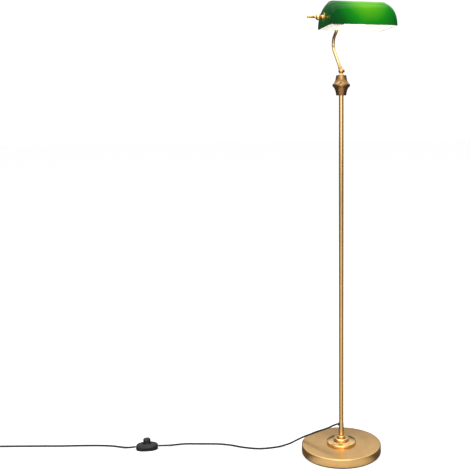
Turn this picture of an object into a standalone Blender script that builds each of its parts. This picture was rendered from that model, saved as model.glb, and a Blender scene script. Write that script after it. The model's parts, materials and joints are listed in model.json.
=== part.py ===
"""Pharmacy floor lamp: a round weighted base, a slim three-piece pole, a jointed arm and a glass shade.

Metres, +Z up. The origin is on the pole's axis, on the floor. X runs along the shade, and -Y is the front.
"""
import math

import bmesh
import bpy
from mathutils import Matrix, Vector

# ---- Driving dimensions ---------------------------------------------------------------------
GAP = 0.0003                      # clearance between pieces that touch

BASE_RADIUS = 0.1365
BASE_TOP = 0.0325
PAD_THICKNESS = 0.0040
WEIGHT_TOP = 0.0160
NIPPLE_RADIUS = 0.0050
NIPPLE_BORE = 0.0034

POLE_RADIUS = 0.0075
POLE_BORE = 0.0062
FOOT_BOTTOM = 0.0613
FOOT_TOP = 0.1218
LOWER_JOINT = 0.5885              # height of the joint between the lower and middle tubes
UPPER_JOINT = 1.1270              # height of the joint between the middle and upper tubes

CAP_BOTTOM = 1.2153
CAP_SEAM = 1.2463
CAP_TOP = 1.2790
CAP_RADIUS = 0.0285
CAP_END_RADIUS = 0.0164

KNUCKLE = Vector((0.0, 0.0, 1.2927))       # centre of the ball at the foot of the arm
KNUCKLE_RADIUS = 0.0095
ARM_RADIUS = 0.0050
ARM_BORE = 0.0038
ARM_BEND = Vector((0.0, 0.100, 1.388))     # corner that the arm's big bend rounds off
ARM_TURN = Vector((0.0, 0.047, 1.4215))    # corner below the shade's knuckle
HEAD = Vector((0.0, 0.047, 1.4450))        # centre of the knuckle behind the shade
HEAD_RADIUS = 0.0080
HEAD_TILT = math.radians(-2.0)             # the shade leans back a little

# The head is laid out from the centre of its knuckle.
SHADE_CENTRE_X = 0.0375
SHADE_CENTRE_Y = -0.092
SHADE_RIM_Z = -0.0242
SHADE_HALF_LENGTH = 0.109
SHADE_HALF_WIDTH = 0.070
SHADE_HEIGHT = 0.079
SHADE_END_CURVE = 0.025
GLASS = 0.003
LAMP_AXIS_Z = 0.0048                       # height of the lampholder's axis over the knuckle

EXIT_HEIGHT = 0.1000
EXIT_TURN = math.radians(161.5)            # direction in which the lead leaves the foot
CORD_RADIUS = 0.0030

SWITCH_PLACE = Matrix.Translation((-0.6435, 0.2200, 0.0)) @ Matrix.Rotation(math.radians(-10), 4, "Z")
BUTTON_RADIUS = 0.0127

COIL_CENTRE = Vector((-1.1961, 0.4421, 0.0))
COIL_RADIUS = 0.0330               # at the middle of the turns, which lie two by two
COIL_HALF = 0.0062                 # half the width of two turns side by side
COIL_BOTTOM = 0.0004
COIL_TOP = 0.0124
PLUG_START = Vector((-1.2428, 0.4125, 0.0070))
PLUG_TURN = math.radians(162.9)

# The lead's route on and above the floor, from the hole in the foot to the switch.
LEAD_TO_SWITCH = [
    (-0.0034, 0.0011, 0.1000), (-0.0137, 0.0046, 0.1000), (-0.0260, 0.0098, 0.0940),
    (-0.0440, 0.0200, 0.0825), (-0.0660, 0.0330, 0.0710), (-0.0900, 0.0470, 0.0580),
    (-0.1150, 0.0620, 0.0440), (-0.1380, 0.0750, 0.0290), (-0.1590, 0.0860, 0.0150),
    (-0.1800, 0.0950, 0.0060), (-0.2067, 0.0945, 0.0034), (-0.2528, 0.0966, 0.0031),
    (-0.2850, 0.1070, 0.0031), (-0.3232, 0.1300, 0.0031), (-0.3560, 0.1570, 0.0031),
    (-0.3911, 0.1775, 0.0031), (-0.4250, 0.1900, 0.0031), (-0.4649, 0.2025, 0.0031),
    (-0.5085, 0.2160, 0.0031), (-0.5387, 0.2185, 0.0034), (-0.5600, 0.2165, 0.0046),
    (-0.5780, 0.2128, 0.0076), (-0.5920, 0.2110, 0.0096), (-0.6047, 0.2132, 0.0100),
]
# And from the switch to the coil.
LEAD_TO_COIL = [
    (-0.6823, 0.2268, 0.0100), (-0.6960, 0.2294, 0.0090), (-0.7130, 0.2400, 0.0058),
    (-0.7320, 0.2560, 0.0034), (-0.7600, 0.2740, 0.0031), (-0.8050, 0.2920, 0.0031),
    (-0.8640, 0.3095, 0.0031), (-0.9300, 0.3265, 0.0031), (-1.0000, 0.3475, 0.0031),
    (-1.0700, 0.3680, 0.0031), (-1.1400, 0.3880, 0.0031), (-1.1855, 0.4012, 0.0031),
]
# And from the coil's outer turn to the plug.
LEAD_TO_PLUG = [(-1.2160, 0.4043, 0.0078), (-1.2290, 0.4083, 0.0072), (-1.2422, 0.4123, 0.0070)]


# ---- Scene and materials --------------------------------------------------------------------
for stale in list(bpy.data.objects):
    bpy.data.objects.remove(stale, do_unlink=True)

ROUND_ANGLE = math.radians(40)


def material(name, colour, metallic=0.0, roughness=0.5, transmission=0.0):
    """A Principled BSDF material with one plain finish."""
    made = bpy.data.materials.new(name)
    made.use_nodes = True
    shader = made.node_tree.nodes["Principled BSDF"]
    shader.inputs["Base Color"].default_value = (*colour, 1.0)
    shader.inputs["Metallic"].default_value = metallic
    shader.inputs["Roughness"].default_value = roughness
    shader.inputs["Transmission Weight"].default_value = transmission
    return made


BRASS = material("brushed_brass", (0.78, 0.55, 0.25), 1.0, 0.25)
DARK_BRASS = material("aged_brass", (0.50, 0.32, 0.14), 1.0, 0.35)
STEEL = material("zinc_plated_steel", (0.62, 0.63, 0.64), 1.0, 0.35)
IRON = material("cast_iron", (0.10, 0.10, 0.11), 0.9, 0.7)
RUBBER = material("black_rubber", (0.02, 0.02, 0.02), 0.0, 0.8)
PLASTIC = material("black_plastic", (0.03, 0.03, 0.03), 0.0, 0.4)
PORCELAIN = material("white_porcelain", (0.85, 0.84, 0.80), 0.0, 0.3)
GREEN_GLASS = material("green_cased_glass", (0.01, 0.32, 0.05), 0.0, 0.08, 0.2)
BULB_GLASS = material("opal_bulb_glass", (0.95, 0.92, 0.85), 0.0, 0.3, 0.3)
COPPER = material("copper_contact", (0.72, 0.38, 0.22), 1.0, 0.3)


# ---- Modelling helpers ----------------------------------------------------------------------
def pivot(name, place, parent=None):
    """An empty on a joint's axis, which carries the pieces that turn with it."""
    empty = bpy.data.objects.new(name, None)
    bpy.context.collection.objects.link(empty)
    empty.parent = parent
    empty.matrix_basis = place
    return empty


def add(name, bm, finish, place=None, parent=None):
    """Close the mesh's seams, point its faces outwards and place it as one named object."""
    bmesh.ops.remove_doubles(bm, verts=bm.verts, dist=1e-6)
    bmesh.ops.recalc_face_normals(bm, faces=bm.faces)
    mesh = bpy.data.meshes.new(name)
    bm.to_mesh(mesh)
    bm.free()
    mesh.shade_smooth()
    mesh.set_sharp_from_angle(angle=ROUND_ANGLE)
    mesh.materials.append(finish)
    piece = bpy.data.objects.new(name, mesh)
    bpy.context.collection.objects.link(piece)
    piece.parent = parent
    piece.matrix_basis = place or Matrix.Identity(4)
    return piece


def turned_mesh(outline, segments):
    """Turn an outline of (radius, height) points about Z.

    An outline that starts on the axis also ends there and makes a solid, and any other is a closed ring.
    """
    bm = bmesh.new()
    verts = [bm.verts.new((radius, 0.0, height)) for radius, height in outline]
    edges = [bm.edges.new(pair) for pair in zip(verts, verts[1:])]
    if outline[0][0] > 0:
        edges.append(bm.edges.new((verts[-1], verts[0])))
    bmesh.ops.spin(bm, geom=verts + edges, cent=(0, 0, 0), axis=(0, 0, 1), angle=math.tau, steps=segments)
    bmesh.ops.remove_doubles(bm, verts=bm.verts, dist=1e-5)
    return bm


def turned(name, outline, finish, segments=32, place=None, parent=None):
    return add(name, turned_mesh(outline, segments), finish, place, parent)


def lofted_mesh(loops, closed=False):
    """Bridge equal loops of points; the ends are capped unless the last loop joins the first."""
    bm = bmesh.new()
    rings = [[bm.verts.new(point) for point in loop] for loop in loops]
    pairs = list(zip(rings, rings[1:]))
    if closed:
        pairs.append((rings[-1], rings[0]))
    for lower, upper in pairs:
        for i in range(len(lower)):
            j = (i + 1) % len(lower)
            bm.faces.new((lower[i], lower[j], upper[j], upper[i]))
    if not closed:
        bm.faces.new(rings[0])
        bm.faces.new(rings[-1])
    return bm


def lofted(name, loops, finish, place=None, parent=None, closed=False):
    return add(name, lofted_mesh(loops, closed), finish, place, parent)


def circle(radius, height, count):
    return [Vector((radius * math.cos(a), radius * math.sin(a), height))
            for a in (math.tau * i / count for i in range(count))]


def oval(length, width, height, count=24, power=2.4):
    """A superellipse of half-sizes length and width."""
    points = []
    for i in range(count):
        a = math.tau * i / count
        x = math.copysign(abs(math.cos(a)) ** (2 / power), math.cos(a))
        y = math.copysign(abs(math.sin(a)) ** (2 / power), math.sin(a))
        points.append(Vector((length * x, width * y, height)))
    return points


def hexagon(flat_radius, height, per_side=2):
    """A hexagon with extra points along its sides, to pair with a round bore."""
    corner = flat_radius / math.cos(math.pi / 6)
    corners = [Vector((corner * math.cos(math.pi / 3 * i), corner * math.sin(math.pi / 3 * i), height))
               for i in range(6)]
    return [corners[i].lerp(corners[(i + 1) % 6], step / per_side)
            for i in range(6) for step in range(per_side)]


def hex_nut(name, flat_radius, bore, thickness, place, parent=None):
    count = 12
    loops = [hexagon(flat_radius, 0.0), hexagon(flat_radius, thickness),
             circle(bore, thickness, count), circle(bore, 0.0, count)]
    return lofted(name, loops, STEEL, place, parent, closed=True)


def arc(centre, radius, start, stop, steps):
    """Points of an arc in the outline's plane; centre is (radius, height), and angles are in degrees."""
    return [(centre[0] + radius * math.cos(math.radians(start + (stop - start) * i / steps)),
             centre[1] + radius * math.sin(math.radians(start + (stop - start) * i / steps)))
            for i in range(steps + 1)]


def aim(direction, origin=(0, 0, 0)):
    """Place a turned piece with its axis along a direction."""
    turn = Vector((0, 0, 1)).rotation_difference(Vector(direction).normalized())
    return Matrix.Translation(origin) @ turn.to_matrix().to_4x4()


def rounded_path(corners, radii, steps):
    """A path through corners, each inner one rounded by an arc of its own radius."""
    path = [corners[0]]
    for before, corner, after, radius in zip(corners, corners[1:], corners[2:], radii):
        into = (corner - before).normalized()
        out = (after - corner).normalized()
        half = into.angle(out) / 2
        start = corner - into * radius * math.tan(half)
        axis = into.cross(out).normalized()
        centre = start + axis.cross(into) * radius
        for i in range(steps + 1):
            spoke = Matrix.Rotation(2 * half * i / steps, 3, axis) @ (start - centre)
            path.append(centre + spoke)
    return path + [corners[-1]]


def bent_loops(path, radius, sides):
    """Round sections square to a path that lies in the YZ plane."""
    across = Vector((1, 0, 0))
    loops = []
    for i, point in enumerate(path):
        before = path[max(i - 1, 0)]
        after = path[min(i + 1, len(path) - 1)]
        normal = (after - before).normalized().cross(across)
        loops.append([point + across * radius * math.cos(a) + normal * radius * math.sin(a)
                      for a in (math.tau * k / sides for k in range(sides))])
    return loops


def smooth_route(points, spacing):
    """Points at an even spacing on a smooth curve through the given ones."""
    nodes = [Vector(point) for point in points]
    nodes = [2 * nodes[0] - nodes[1]] + nodes + [2 * nodes[-1] - nodes[-2]]
    dense = []
    for a, b, c, d in zip(nodes, nodes[1:], nodes[2:], nodes[3:]):
        for i in range(12):
            t = i / 12
            dense.append(0.5 * (2 * b + (c - a) * t + (2 * a - 5 * b + 4 * c - d) * t ** 2
                                + (3 * b - a - 3 * c + d) * t ** 3))
    dense.append(nodes[-2])
    total = sum((q - p).length for p, q in zip(dense, dense[1:]))
    count = max(round(total / spacing), 2)
    even, walked, target = [dense[0]], 0.0, total / count
    for p, q in zip(dense, dense[1:]):
        step = (q - p).length
        while walked + step >= target and len(even) < count:
            even.append(p.lerp(q, (target - walked) / step))
            target += total / count
        walked += step
    return even + [dense[-1]]


def tube_curve(name, points, radius, finish, resolution, parent=None):
    """A solid cord as a curve with a round bevel and closed ends."""
    curve = bpy.data.curves.new(name, "CURVE")
    curve.dimensions = "3D"
    curve.bevel_depth = radius
    curve.bevel_resolution = resolution
    curve.use_fill_caps = True
    spline = curve.splines.new("POLY")
    spline.points.add(len(points) - 1)
    for target, point in zip(spline.points, points):
        target.co = (*point, 1.0)
    curve.materials.append(finish)
    cord = bpy.data.objects.new(name, curve)
    bpy.context.collection.objects.link(cord)
    cord.parent = parent
    return cord


def cutter(name, bm, place=None, parent=None):
    """A shape that only cuts, shown as wire and never rendered."""
    shape = add(name, bm, RUBBER, place, parent)
    shape.hide_render = True
    shape.display_type = "WIRE"
    return shape


def combine(piece, other, operation):
    """Boolean the other shape into the piece."""
    modifier = piece.modifiers.new(operation.lower(), "BOOLEAN")
    modifier.operation = operation
    modifier.object = other
    modifier.solver = "EXACT"


# ---- Base -----------------------------------------------------------------------------------
def build_base():
    pad = BASE_RADIUS - 0.002
    turned("base_pad", [(0, 0), (pad - 0.001, 0), (pad, 0.001), (pad, PAD_THICKNESS), (0, PAD_THICKNESS)],
           RUBBER, 32)
    floor = PAD_THICKNESS + GAP
    turned("base_weight", [(0.018, floor), (0.131, floor), (0.133, 0.006), (0.131, WEIGHT_TOP),
                           (0.0065, WEIGHT_TOP), (0.0065, 0.0128), (0.018, 0.0128)], IRON, 28)
    edge = arc((BASE_RADIUS - 0.004, BASE_TOP - 0.004), 0.004, 90, 0, 2)
    inner_edge = arc((BASE_RADIUS - 0.004, BASE_TOP - 0.004), 0.0028, 0, 90, 1)
    turned("base_shell", [(0.0065, BASE_TOP)] + edge + [(BASE_RADIUS, floor), (BASE_RADIUS - 0.0012, floor)]
           + inner_edge + [(0.0065, BASE_TOP - 0.0012)], BRASS, 40)
    turned("threaded_nipple", [(NIPPLE_RADIUS, 0.0046), (NIPPLE_RADIUS, 0.0780),
                               (NIPPLE_BORE, 0.0780), (NIPPLE_BORE, 0.0046)], STEEL, 16)
    turned("base_washer", [(0.0053, 0.0110), (0.0150, 0.0110), (0.0150, 0.0125), (0.0053, 0.0125)], STEEL, 16)
    hex_nut("base_nut", 0.0085, 0.0053, 0.0052, Matrix.Translation((0, 0, 0.0055)))


def build_collar():
    low = BASE_TOP + GAP
    turned("collar_plate", [(0.0055, low), (0.0500, low), (0.0505, low + 0.0010), (0.0505, low + 0.0070),
                            (0.0490, low + 0.0085), (0.0330, low + 0.0112), (0.0270, low + 0.0122),
                            (0.0055, low + 0.0122)], BRASS, 32)
    turned("collar_ring", [(0.0055, 0.0453), (0.0262, 0.0453), (0.0270, 0.0465), (0.0270, 0.0522),
                           (0.0255, 0.0537), (0.0055, 0.0537)], BRASS, 24)
    turned("collar_bead", [(0.0055, 0.0540), (0.0138, 0.0540), (0.0144, 0.0555), (0.0144, 0.0595),
                           (0.0132, 0.0610), (0.0055, 0.0610)], BRASS, 16)


# ---- Pole -----------------------------------------------------------------------------------
def tube(name, bottom, top, finish=BRASS):
    return turned(name, [(POLE_RADIUS, bottom), (POLE_RADIUS, top), (POLE_BORE, top), (POLE_BORE, bottom)],
                  finish, 16)


def coupling(name, middle):
    """A threaded sleeve inside a joint between two tubes."""
    outside = POLE_BORE - GAP
    return turned(name, [(outside, middle - 0.012), (outside, middle + 0.012),
                         (0.0040, middle + 0.012), (0.0040, middle - 0.012)], STEEL, 12)


def build_pole():
    foot = turned("pole_foot", [(0.0092, FOOT_BOTTOM), (0.0097, FOOT_BOTTOM + 0.0015), (0.0094, 0.0700),
                                (0.0084, 0.0950), (POLE_RADIUS + 0.0002, 0.1160), (POLE_RADIUS, FOOT_TOP),
                                (POLE_BORE, FOOT_TOP), (POLE_BORE, 0.0790), (0.0053, 0.0790),
                                (0.0053, FOOT_BOTTOM)], BRASS, 18)
    outward = Vector((math.cos(EXIT_TURN), math.sin(EXIT_TURN), 0))
    exit_axis = aim(outward, (0, 0, EXIT_HEIGHT))
    rod = [(0, 0.002), (0.0048, 0.002), (0.0048, 0.014), (0, 0.014)]
    hole = cutter("exit_hole_cutter", turned_mesh(rod, 16), exit_axis)
    combine(foot, hole, "DIFFERENCE")
    turned("cable_grommet", [(0.0033, 0.0050), (0.0045, 0.0050), (0.0045, 0.0088), (0.0060, 0.0088),
                             (0.0060, 0.0100), (0.0050, 0.0112), (0.0033, 0.0112)], RUBBER, 12, exit_axis)
    tube("pole_lower", FOOT_TOP + GAP, LOWER_JOINT)
    tube("pole_middle", LOWER_JOINT + GAP, UPPER_JOINT)
    tube("pole_upper", UPPER_JOINT + GAP, CAP_BOTTOM + 0.0092)
    coupling("coupling_foot", FOOT_TOP)
    coupling("coupling_lower", LOWER_JOINT)
    coupling("coupling_upper", UPPER_JOINT)
    inner = [Vector((0, 0, 0.0935)), Vector((0, 0, 0.6)), Vector((0, 0, 1.2100))]
    tube_curve("pole_lead", inner, 0.0026, PLASTIC, 2)


# ---- Cap and swivel -------------------------------------------------------------------------
def build_cap():
    turned("cap_lower", [(0.0078, CAP_BOTTOM), (CAP_END_RADIUS, CAP_BOTTOM), (0.0171, 1.2185),
                         (0.0184, 1.2240), (0.0197, 1.2300), (0.0222, 1.2365), (0.0258, 1.2422),
                         (CAP_RADIUS, 1.2450), (CAP_RADIUS, CAP_SEAM - GAP / 2),
                         (0.0240, CAP_SEAM - GAP / 2), (0.0190, 1.2385), (0.0140, 1.2225),
                         (0.0078, 1.2225)], DARK_BRASS, 24)
    turned("swivel_bush", [(0.0053, 1.2060), (POLE_BORE - GAP, 1.2060), (POLE_BORE - GAP, 1.2250),
                           (0.0105, 1.2250), (0.0105, 1.2275), (0.0053, 1.2275)], STEEL, 14)


def build_swivel(parent):
    """The upper half of the cap turns on a hollow spindle that ends in the arm's knuckle."""
    turned("cap_upper", [(0.0053, CAP_TOP), (CAP_END_RADIUS, CAP_TOP), (0.0171, 1.2745), (0.0184, 1.2690),
                         (0.0197, 1.2630), (0.0222, 1.2562), (0.0258, 1.2505), (CAP_RADIUS, 1.2477),
                         (CAP_RADIUS, CAP_SEAM + GAP / 2), (0.0240, CAP_SEAM + GAP / 2), (0.0190, 1.2540),
                         (0.0140, 1.2700), (0.0053, 1.2700)], DARK_BRASS, 24, parent=parent)
    turned("swivel_spindle", [(NIPPLE_RADIUS, 1.2035), (NIPPLE_RADIUS, 1.2822),
                              (NIPPLE_BORE, 1.2822), (NIPPLE_BORE, 1.2035)], STEEL, 16, parent=parent)
    hex_nut("swivel_nut", 0.0080, 0.0053, 0.0045, Matrix.Translation((0, 0, 1.2280)), parent)
    hex_nut("cap_nut", 0.0080, 0.0053, 0.0045, Matrix.Translation((0, 0, 1.2652)), parent)


# ---- Knuckles -------------------------------------------------------------------------------
def half_ball(radius, bore):
    """Half of a ball on its own axis, bored through for the pivot screw."""
    slack = GAP / 2
    edge = math.degrees(math.asin(slack / radius))
    end = math.degrees(math.acos(bore / radius))
    return turned_mesh([(bore, slack)] + arc((0, 0), radius, edge, end, 4), 14)


def clearance_ball(radius):
    """What a neck leaves free for the other half of the ball."""
    return turned_mesh([(0, -GAP / 2)] + arc((0, 0), radius + 2 * GAP, 0, 90, 4)[:-1]
                       + [(0, radius + 2 * GAP)], 14)


def knuckle_half(name, finish, side, radius, neck, neck_place, centre, parent):
    """A half ball with its neck; side is -1 for the left half and 1 for the right."""
    toward = (side, 0, 0)
    piece = turned(name, neck, finish, 14, neck_place, parent)
    clear = cutter(name + "_clearance", clearance_ball(radius), aim((-side, 0, 0), centre), parent)
    combine(piece, clear, "DIFFERENCE")
    ball = cutter(name + "_ball", half_ball(radius, 0.0025), aim(toward, centre), parent)
    combine(piece, ball, "UNION")
    rod = [(0, -0.015), (0.0025, -0.015), (0.0025, 0.015), (0, 0.015)]
    bore = cutter(name + "_bore", turned_mesh(rod, 12), aim(toward, centre), parent)
    combine(piece, bore, "DIFFERENCE")
    return piece


def pivot_screw(name, radius, centre, parent):
    """A screw along X through both halves, with a round head on the right."""
    seat = math.sqrt(radius ** 2 - 0.0025 ** 2) + GAP
    turned(name, [(0, -seat + GAP), (0.0022, -seat + GAP), (0.0022, seat), (0.0042, seat),
                  (0.0042, seat + 0.0010), (0.0030, seat + 0.0020), (0, seat + 0.0024)],
           BRASS, 12, aim((1, 0, 0), centre), parent)


def build_lower_knuckle(parent):
    """The bell on the cap and the left half of the arm's ball."""
    z = KNUCKLE.z
    bell = [(0, 1.2825), (0.0053, 1.2825), (0.0053, CAP_TOP + GAP), (0.0090, CAP_TOP + GAP), (0.0086, 1.2804),
            (0.0068, 1.2830), (0.0058, 1.2848), (0.0052, z - 0.0062), (0, z - 0.0062)]
    knuckle_half("knuckle_base", BRASS, -1, KNUCKLE_RADIUS, bell, Matrix.Identity(4), KNUCKLE, parent)
    pivot_screw("knuckle_screw", KNUCKLE_RADIUS, KNUCKLE, parent)


ARM_START = 0.0130                # where the arm's tube begins, from the centre of its ball
ARM_END = 0.0110                  # and where it ends, below the centre of the shade's ball


def arm_path():
    first = (ARM_BEND - KNUCKLE).normalized()
    corners = [KNUCKLE + first * ARM_START, ARM_BEND, ARM_TURN, HEAD - Vector((0, 0, ARM_END))]
    return rounded_path([corner - KNUCKLE for corner in corners], [0.030, 0.013], 6)


def build_arm(parent):
    """All that turns on the lower knuckle, laid out from the centre of its ball."""
    first = (ARM_BEND - KNUCKLE).normalized()
    neck = [(0, 0.0062), (0.0056, 0.0062), (0.0060, 0.0100), (0.0064, 0.0112), (0.0064, 0.0180),
            (0.0053, 0.0180), (0.0053, ARM_START - GAP), (0, ARM_START - GAP)]
    knuckle_half("knuckle_arm", BRASS, 1, KNUCKLE_RADIUS, neck, aim(first), Vector(), parent)
    path = arm_path()
    loops = bent_loops(path, ARM_RADIUS, 10) + bent_loops(path, ARM_BORE, 10)[::-1]
    lofted("arm_tube", loops, BRASS, parent=parent, closed=True)
    tube_curve("arm_lead", path[1:-1], 0.0024, PLASTIC, 1, parent)
    head = HEAD - KNUCKLE
    neck = [(0, 0.0054), (0.0050, 0.0054), (0.0056, 0.0085), (0.0062, 0.0095), (0.0062, 0.0150),
            (0.0053, 0.0150), (0.0053, ARM_END - GAP), (0, ARM_END - GAP)]
    knuckle_half("head_knuckle_base", BRASS, -1, HEAD_RADIUS, neck, aim((0, 0, -1), head), head, parent)
    pivot_screw("head_knuckle_screw", HEAD_RADIUS, head, parent)


# ---- Shade and lamp -------------------------------------------------------------------------
def shade_loop(half_length, half_width, corner, height):
    """A rounded rectangle with a fixed number of points on its corners and sides."""
    corner = min(corner, half_width * 0.95)
    points = []
    centres = [(1, 1, 0), (-1, 1, 90), (-1, -1, 180), (1, -1, 270)]
    for index, (sx, sy, start) in enumerate(centres):
        cx = sx * (half_length - corner)
        cy = sy * (half_width - corner)
        for step in range(3):
            a = math.radians(start + 45 * step)
            points.append(Vector((cx + corner * math.cos(a), cy + corner * math.sin(a), height)))
        last = points[-1]
        nx, ny, nstart = centres[(index + 1) % 4]
        a = math.radians(nstart)
        following = Vector((nx * (half_length - corner) + corner * math.cos(a),
                            ny * (half_width - corner) + corner * math.sin(a), height))
        splits = 3 if index % 2 == 0 else 2
        points += [last.lerp(following, k / splits) for k in range(1, splits)]
    return points


def shade_loops(inset, rows=8, power=2.2):
    """Sections from the rim to the ridge of a half barrel with curved-in ends."""
    height = SHADE_HEIGHT - inset
    width = SHADE_HALF_WIDTH - inset
    loops = []
    for row in range(rows + 1):
        turn = math.radians(86) * row / rows
        share = math.sin(turn) ** (2 / power)
        end = (1 - share ** 2.4) ** (1 / 2.4)
        half_length = SHADE_HALF_LENGTH - SHADE_END_CURVE + (SHADE_END_CURVE - inset) * end
        loops.append(shade_loop(half_length, width * math.cos(turn) ** (2 / power),
                                0.006 + 0.030 * share ** 2, height * share))
    return loops


def build_shade(parent):
    place = Matrix.Translation((SHADE_CENTRE_X, SHADE_CENTRE_Y, SHADE_RIM_Z))
    outer = shade_loops(0.0)
    inner = shade_loops(GLASS)
    glass = lofted("shade_glass", outer[::-1] + inner, GREEN_GLASS, place, parent)
    rod = [(0, 0), (0.0060, 0), (0.0060, 0.020), (0, 0.020)]
    back_hole = cutter("back_hole_cutter", turned_mesh(rod, 16), aim((0, -1, 0), (0, -0.0150, 0)), parent)
    end_hole = cutter("end_hole_cutter", turned_mesh(rod, 16),
                      aim((-1, 0, 0), (-0.0600, SHADE_CENTRE_Y, LAMP_AXIS_Z)), parent)
    combine(glass, back_hole, "DIFFERENCE")
    combine(glass, end_hole, "DIFFERENCE")


def build_head_mount(parent):
    """The knuckle's right half, its stub through the back of the glass, and the strap inside."""
    stub = [(0, 0.0054), (0.0050, 0.0054), (0.0056, 0.0085), (0.0064, 0.0098), (0.0064, 0.0145),
            (0.0048, 0.0150), (0.0048, 0.0405), (0, 0.0405)]
    knuckle_half("head_knuckle_stub", BRASS, 1, HEAD_RADIUS, stub, aim((0, -1, 0)), Vector(), parent)
    forward = (0, -1, 0)
    hex_nut("back_nut", 0.0075, 0.0051, 0.0040, aim(forward, (0, -0.0155, 0)), parent)
    turned("back_washer", [(0.0051, 0.0198), (0.0095, 0.0198), (0.0095, 0.0218), (0.0051, 0.0218)],
           RUBBER, 16, aim(forward), parent)
    hex_nut("inner_nut", 0.0075, 0.0051, 0.0036, aim(forward, (0, -0.0358, 0)), parent)
    plan = [(0.0090, -0.0335), (0.0090, -0.0355), (-0.0480, -0.0355), (-0.0480, -0.1000), (-0.0500, -0.1000),
            (-0.0500, -0.0335)]
    loops = [[Vector((x, y, z)) for x, y in plan] for z in (-0.0062, 0.0125)]
    strap = lofted("holder_strap", loops, STEEL, parent=parent)
    hole = [(0, 0), (0.0052, 0), (0.0052, 0.010), (0, 0.010)]
    stub_hole = cutter("strap_stub_cutter", turned_mesh(hole, 16), aim(forward, (0, -0.0300, 0)), parent)
    lamp_hole = cutter("strap_lamp_cutter", turned_mesh(hole, 16),
                       aim((-1, 0, 0), (-0.0440, SHADE_CENTRE_Y, LAMP_AXIS_Z)), parent)
    combine(strap, stub_hole, "DIFFERENCE")
    combine(strap, lamp_hole, "DIFFERENCE")


def build_lamp(parent):
    """Lampholder, bulb and end knob, all turned on one axis along the shade."""
    right = aim((1, 0, 0), (-0.0460, SHADE_CENTRE_Y, LAMP_AXIS_Z))
    left = aim((-1, 0, 0), (-0.0460, SHADE_CENTRE_Y, LAMP_AXIS_Z))
    turned("lampholder_shell", [(0.0053, 0), (0.0125, 0), (0.0190, 0.0035), (0.0213, 0.0090),
                                (0.0213, 0.0380), (0.0202, 0.0380), (0.0202, 0.0094), (0.0182, 0.0050),
                                (0.0122, 0.0014),
                                (0.0053, 0.0014)], BRASS, 20, right, parent)
    turned("lampholder_core", [(0, 0.0060), (0.0165, 0.0060), (0.0197, 0.0110), (0.0197, 0.0350),
                               (0.0142, 0.0350), (0.0142, 0.0120), (0, 0.0120)], PORCELAIN, 16, right, parent)
    turned("bulb_cap", [(0, 0.0123), (0.0040, 0.0123), (0.0062, 0.0140), (0.0130, 0.0160), (0.0130, 0.0390),
                        (0.0118, 0.0390), (0.0118, 0.0180), (0, 0.0180)], STEEL, 16, right, parent)
    globe = 0.0225
    middle = 0.0960
    skin = 0.0010
    outside = [(0.0115, 0.0200), (0.0115, 0.0430), (0.0128, 0.0560), (0.0170, 0.0720)]
    inside = [(r - skin, h) for r, h in outside]
    turned("bulb_glass", arc((0, middle), globe, 90, -30, 5) + outside[::-1] + inside
           + arc((0, middle), globe - skin, -30, 90, 5), BULB_GLASS, 16, right, parent)
    turned("end_nipple", [(NIPPLE_RADIUS, -0.0030), (NIPPLE_RADIUS, 0.0385), (NIPPLE_BORE, 0.0385),
                          (NIPPLE_BORE, -0.0030)], STEEL, 16, left, parent)
    hex_nut("end_nut", 0.0080, 0.0053, 0.0040, left @ Matrix.Translation((0, 0, 0.0158)), parent)
    turned("end_washer", [(0.0053, 0.0260), (0.0140, 0.0260), (0.0146, 0.0266), (0.0140, 0.0277),
                          (0.0053, 0.0277)], BRASS, 20, left, parent)
    ball = 0.0440
    radius = 0.0098
    turned("end_knob", [(0, 0.0388), (0.0053, 0.0388), (0.0053, 0.0280), (0.0080, 0.0280), (0.0076, 0.0294),
                        (0.0058, 0.0310), (0.0056, 0.0350)] + arc((0, ball), radius, -52, 66, 6)
           + [(0.0038, 0.0480), (0, 0.0480)], BRASS, 16, left, parent)
    turned("knob_handle", [(0, 0.0483), (0.0035, 0.0483), (0.0035, 0.0785), (0.0027, 0.0797), (0, 0.0800)],
           BRASS, 16, left, parent)


# ---- Foot switch and lead -------------------------------------------------------------------
def helix(radius, bottom, top, turns, per_turn):
    count = turns * per_turn
    return [Vector((radius * math.cos(math.tau * i / per_turn), radius * math.sin(math.tau * i / per_turn),
                    bottom + (top - bottom) * i / count)) for i in range(count + 1)]


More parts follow.
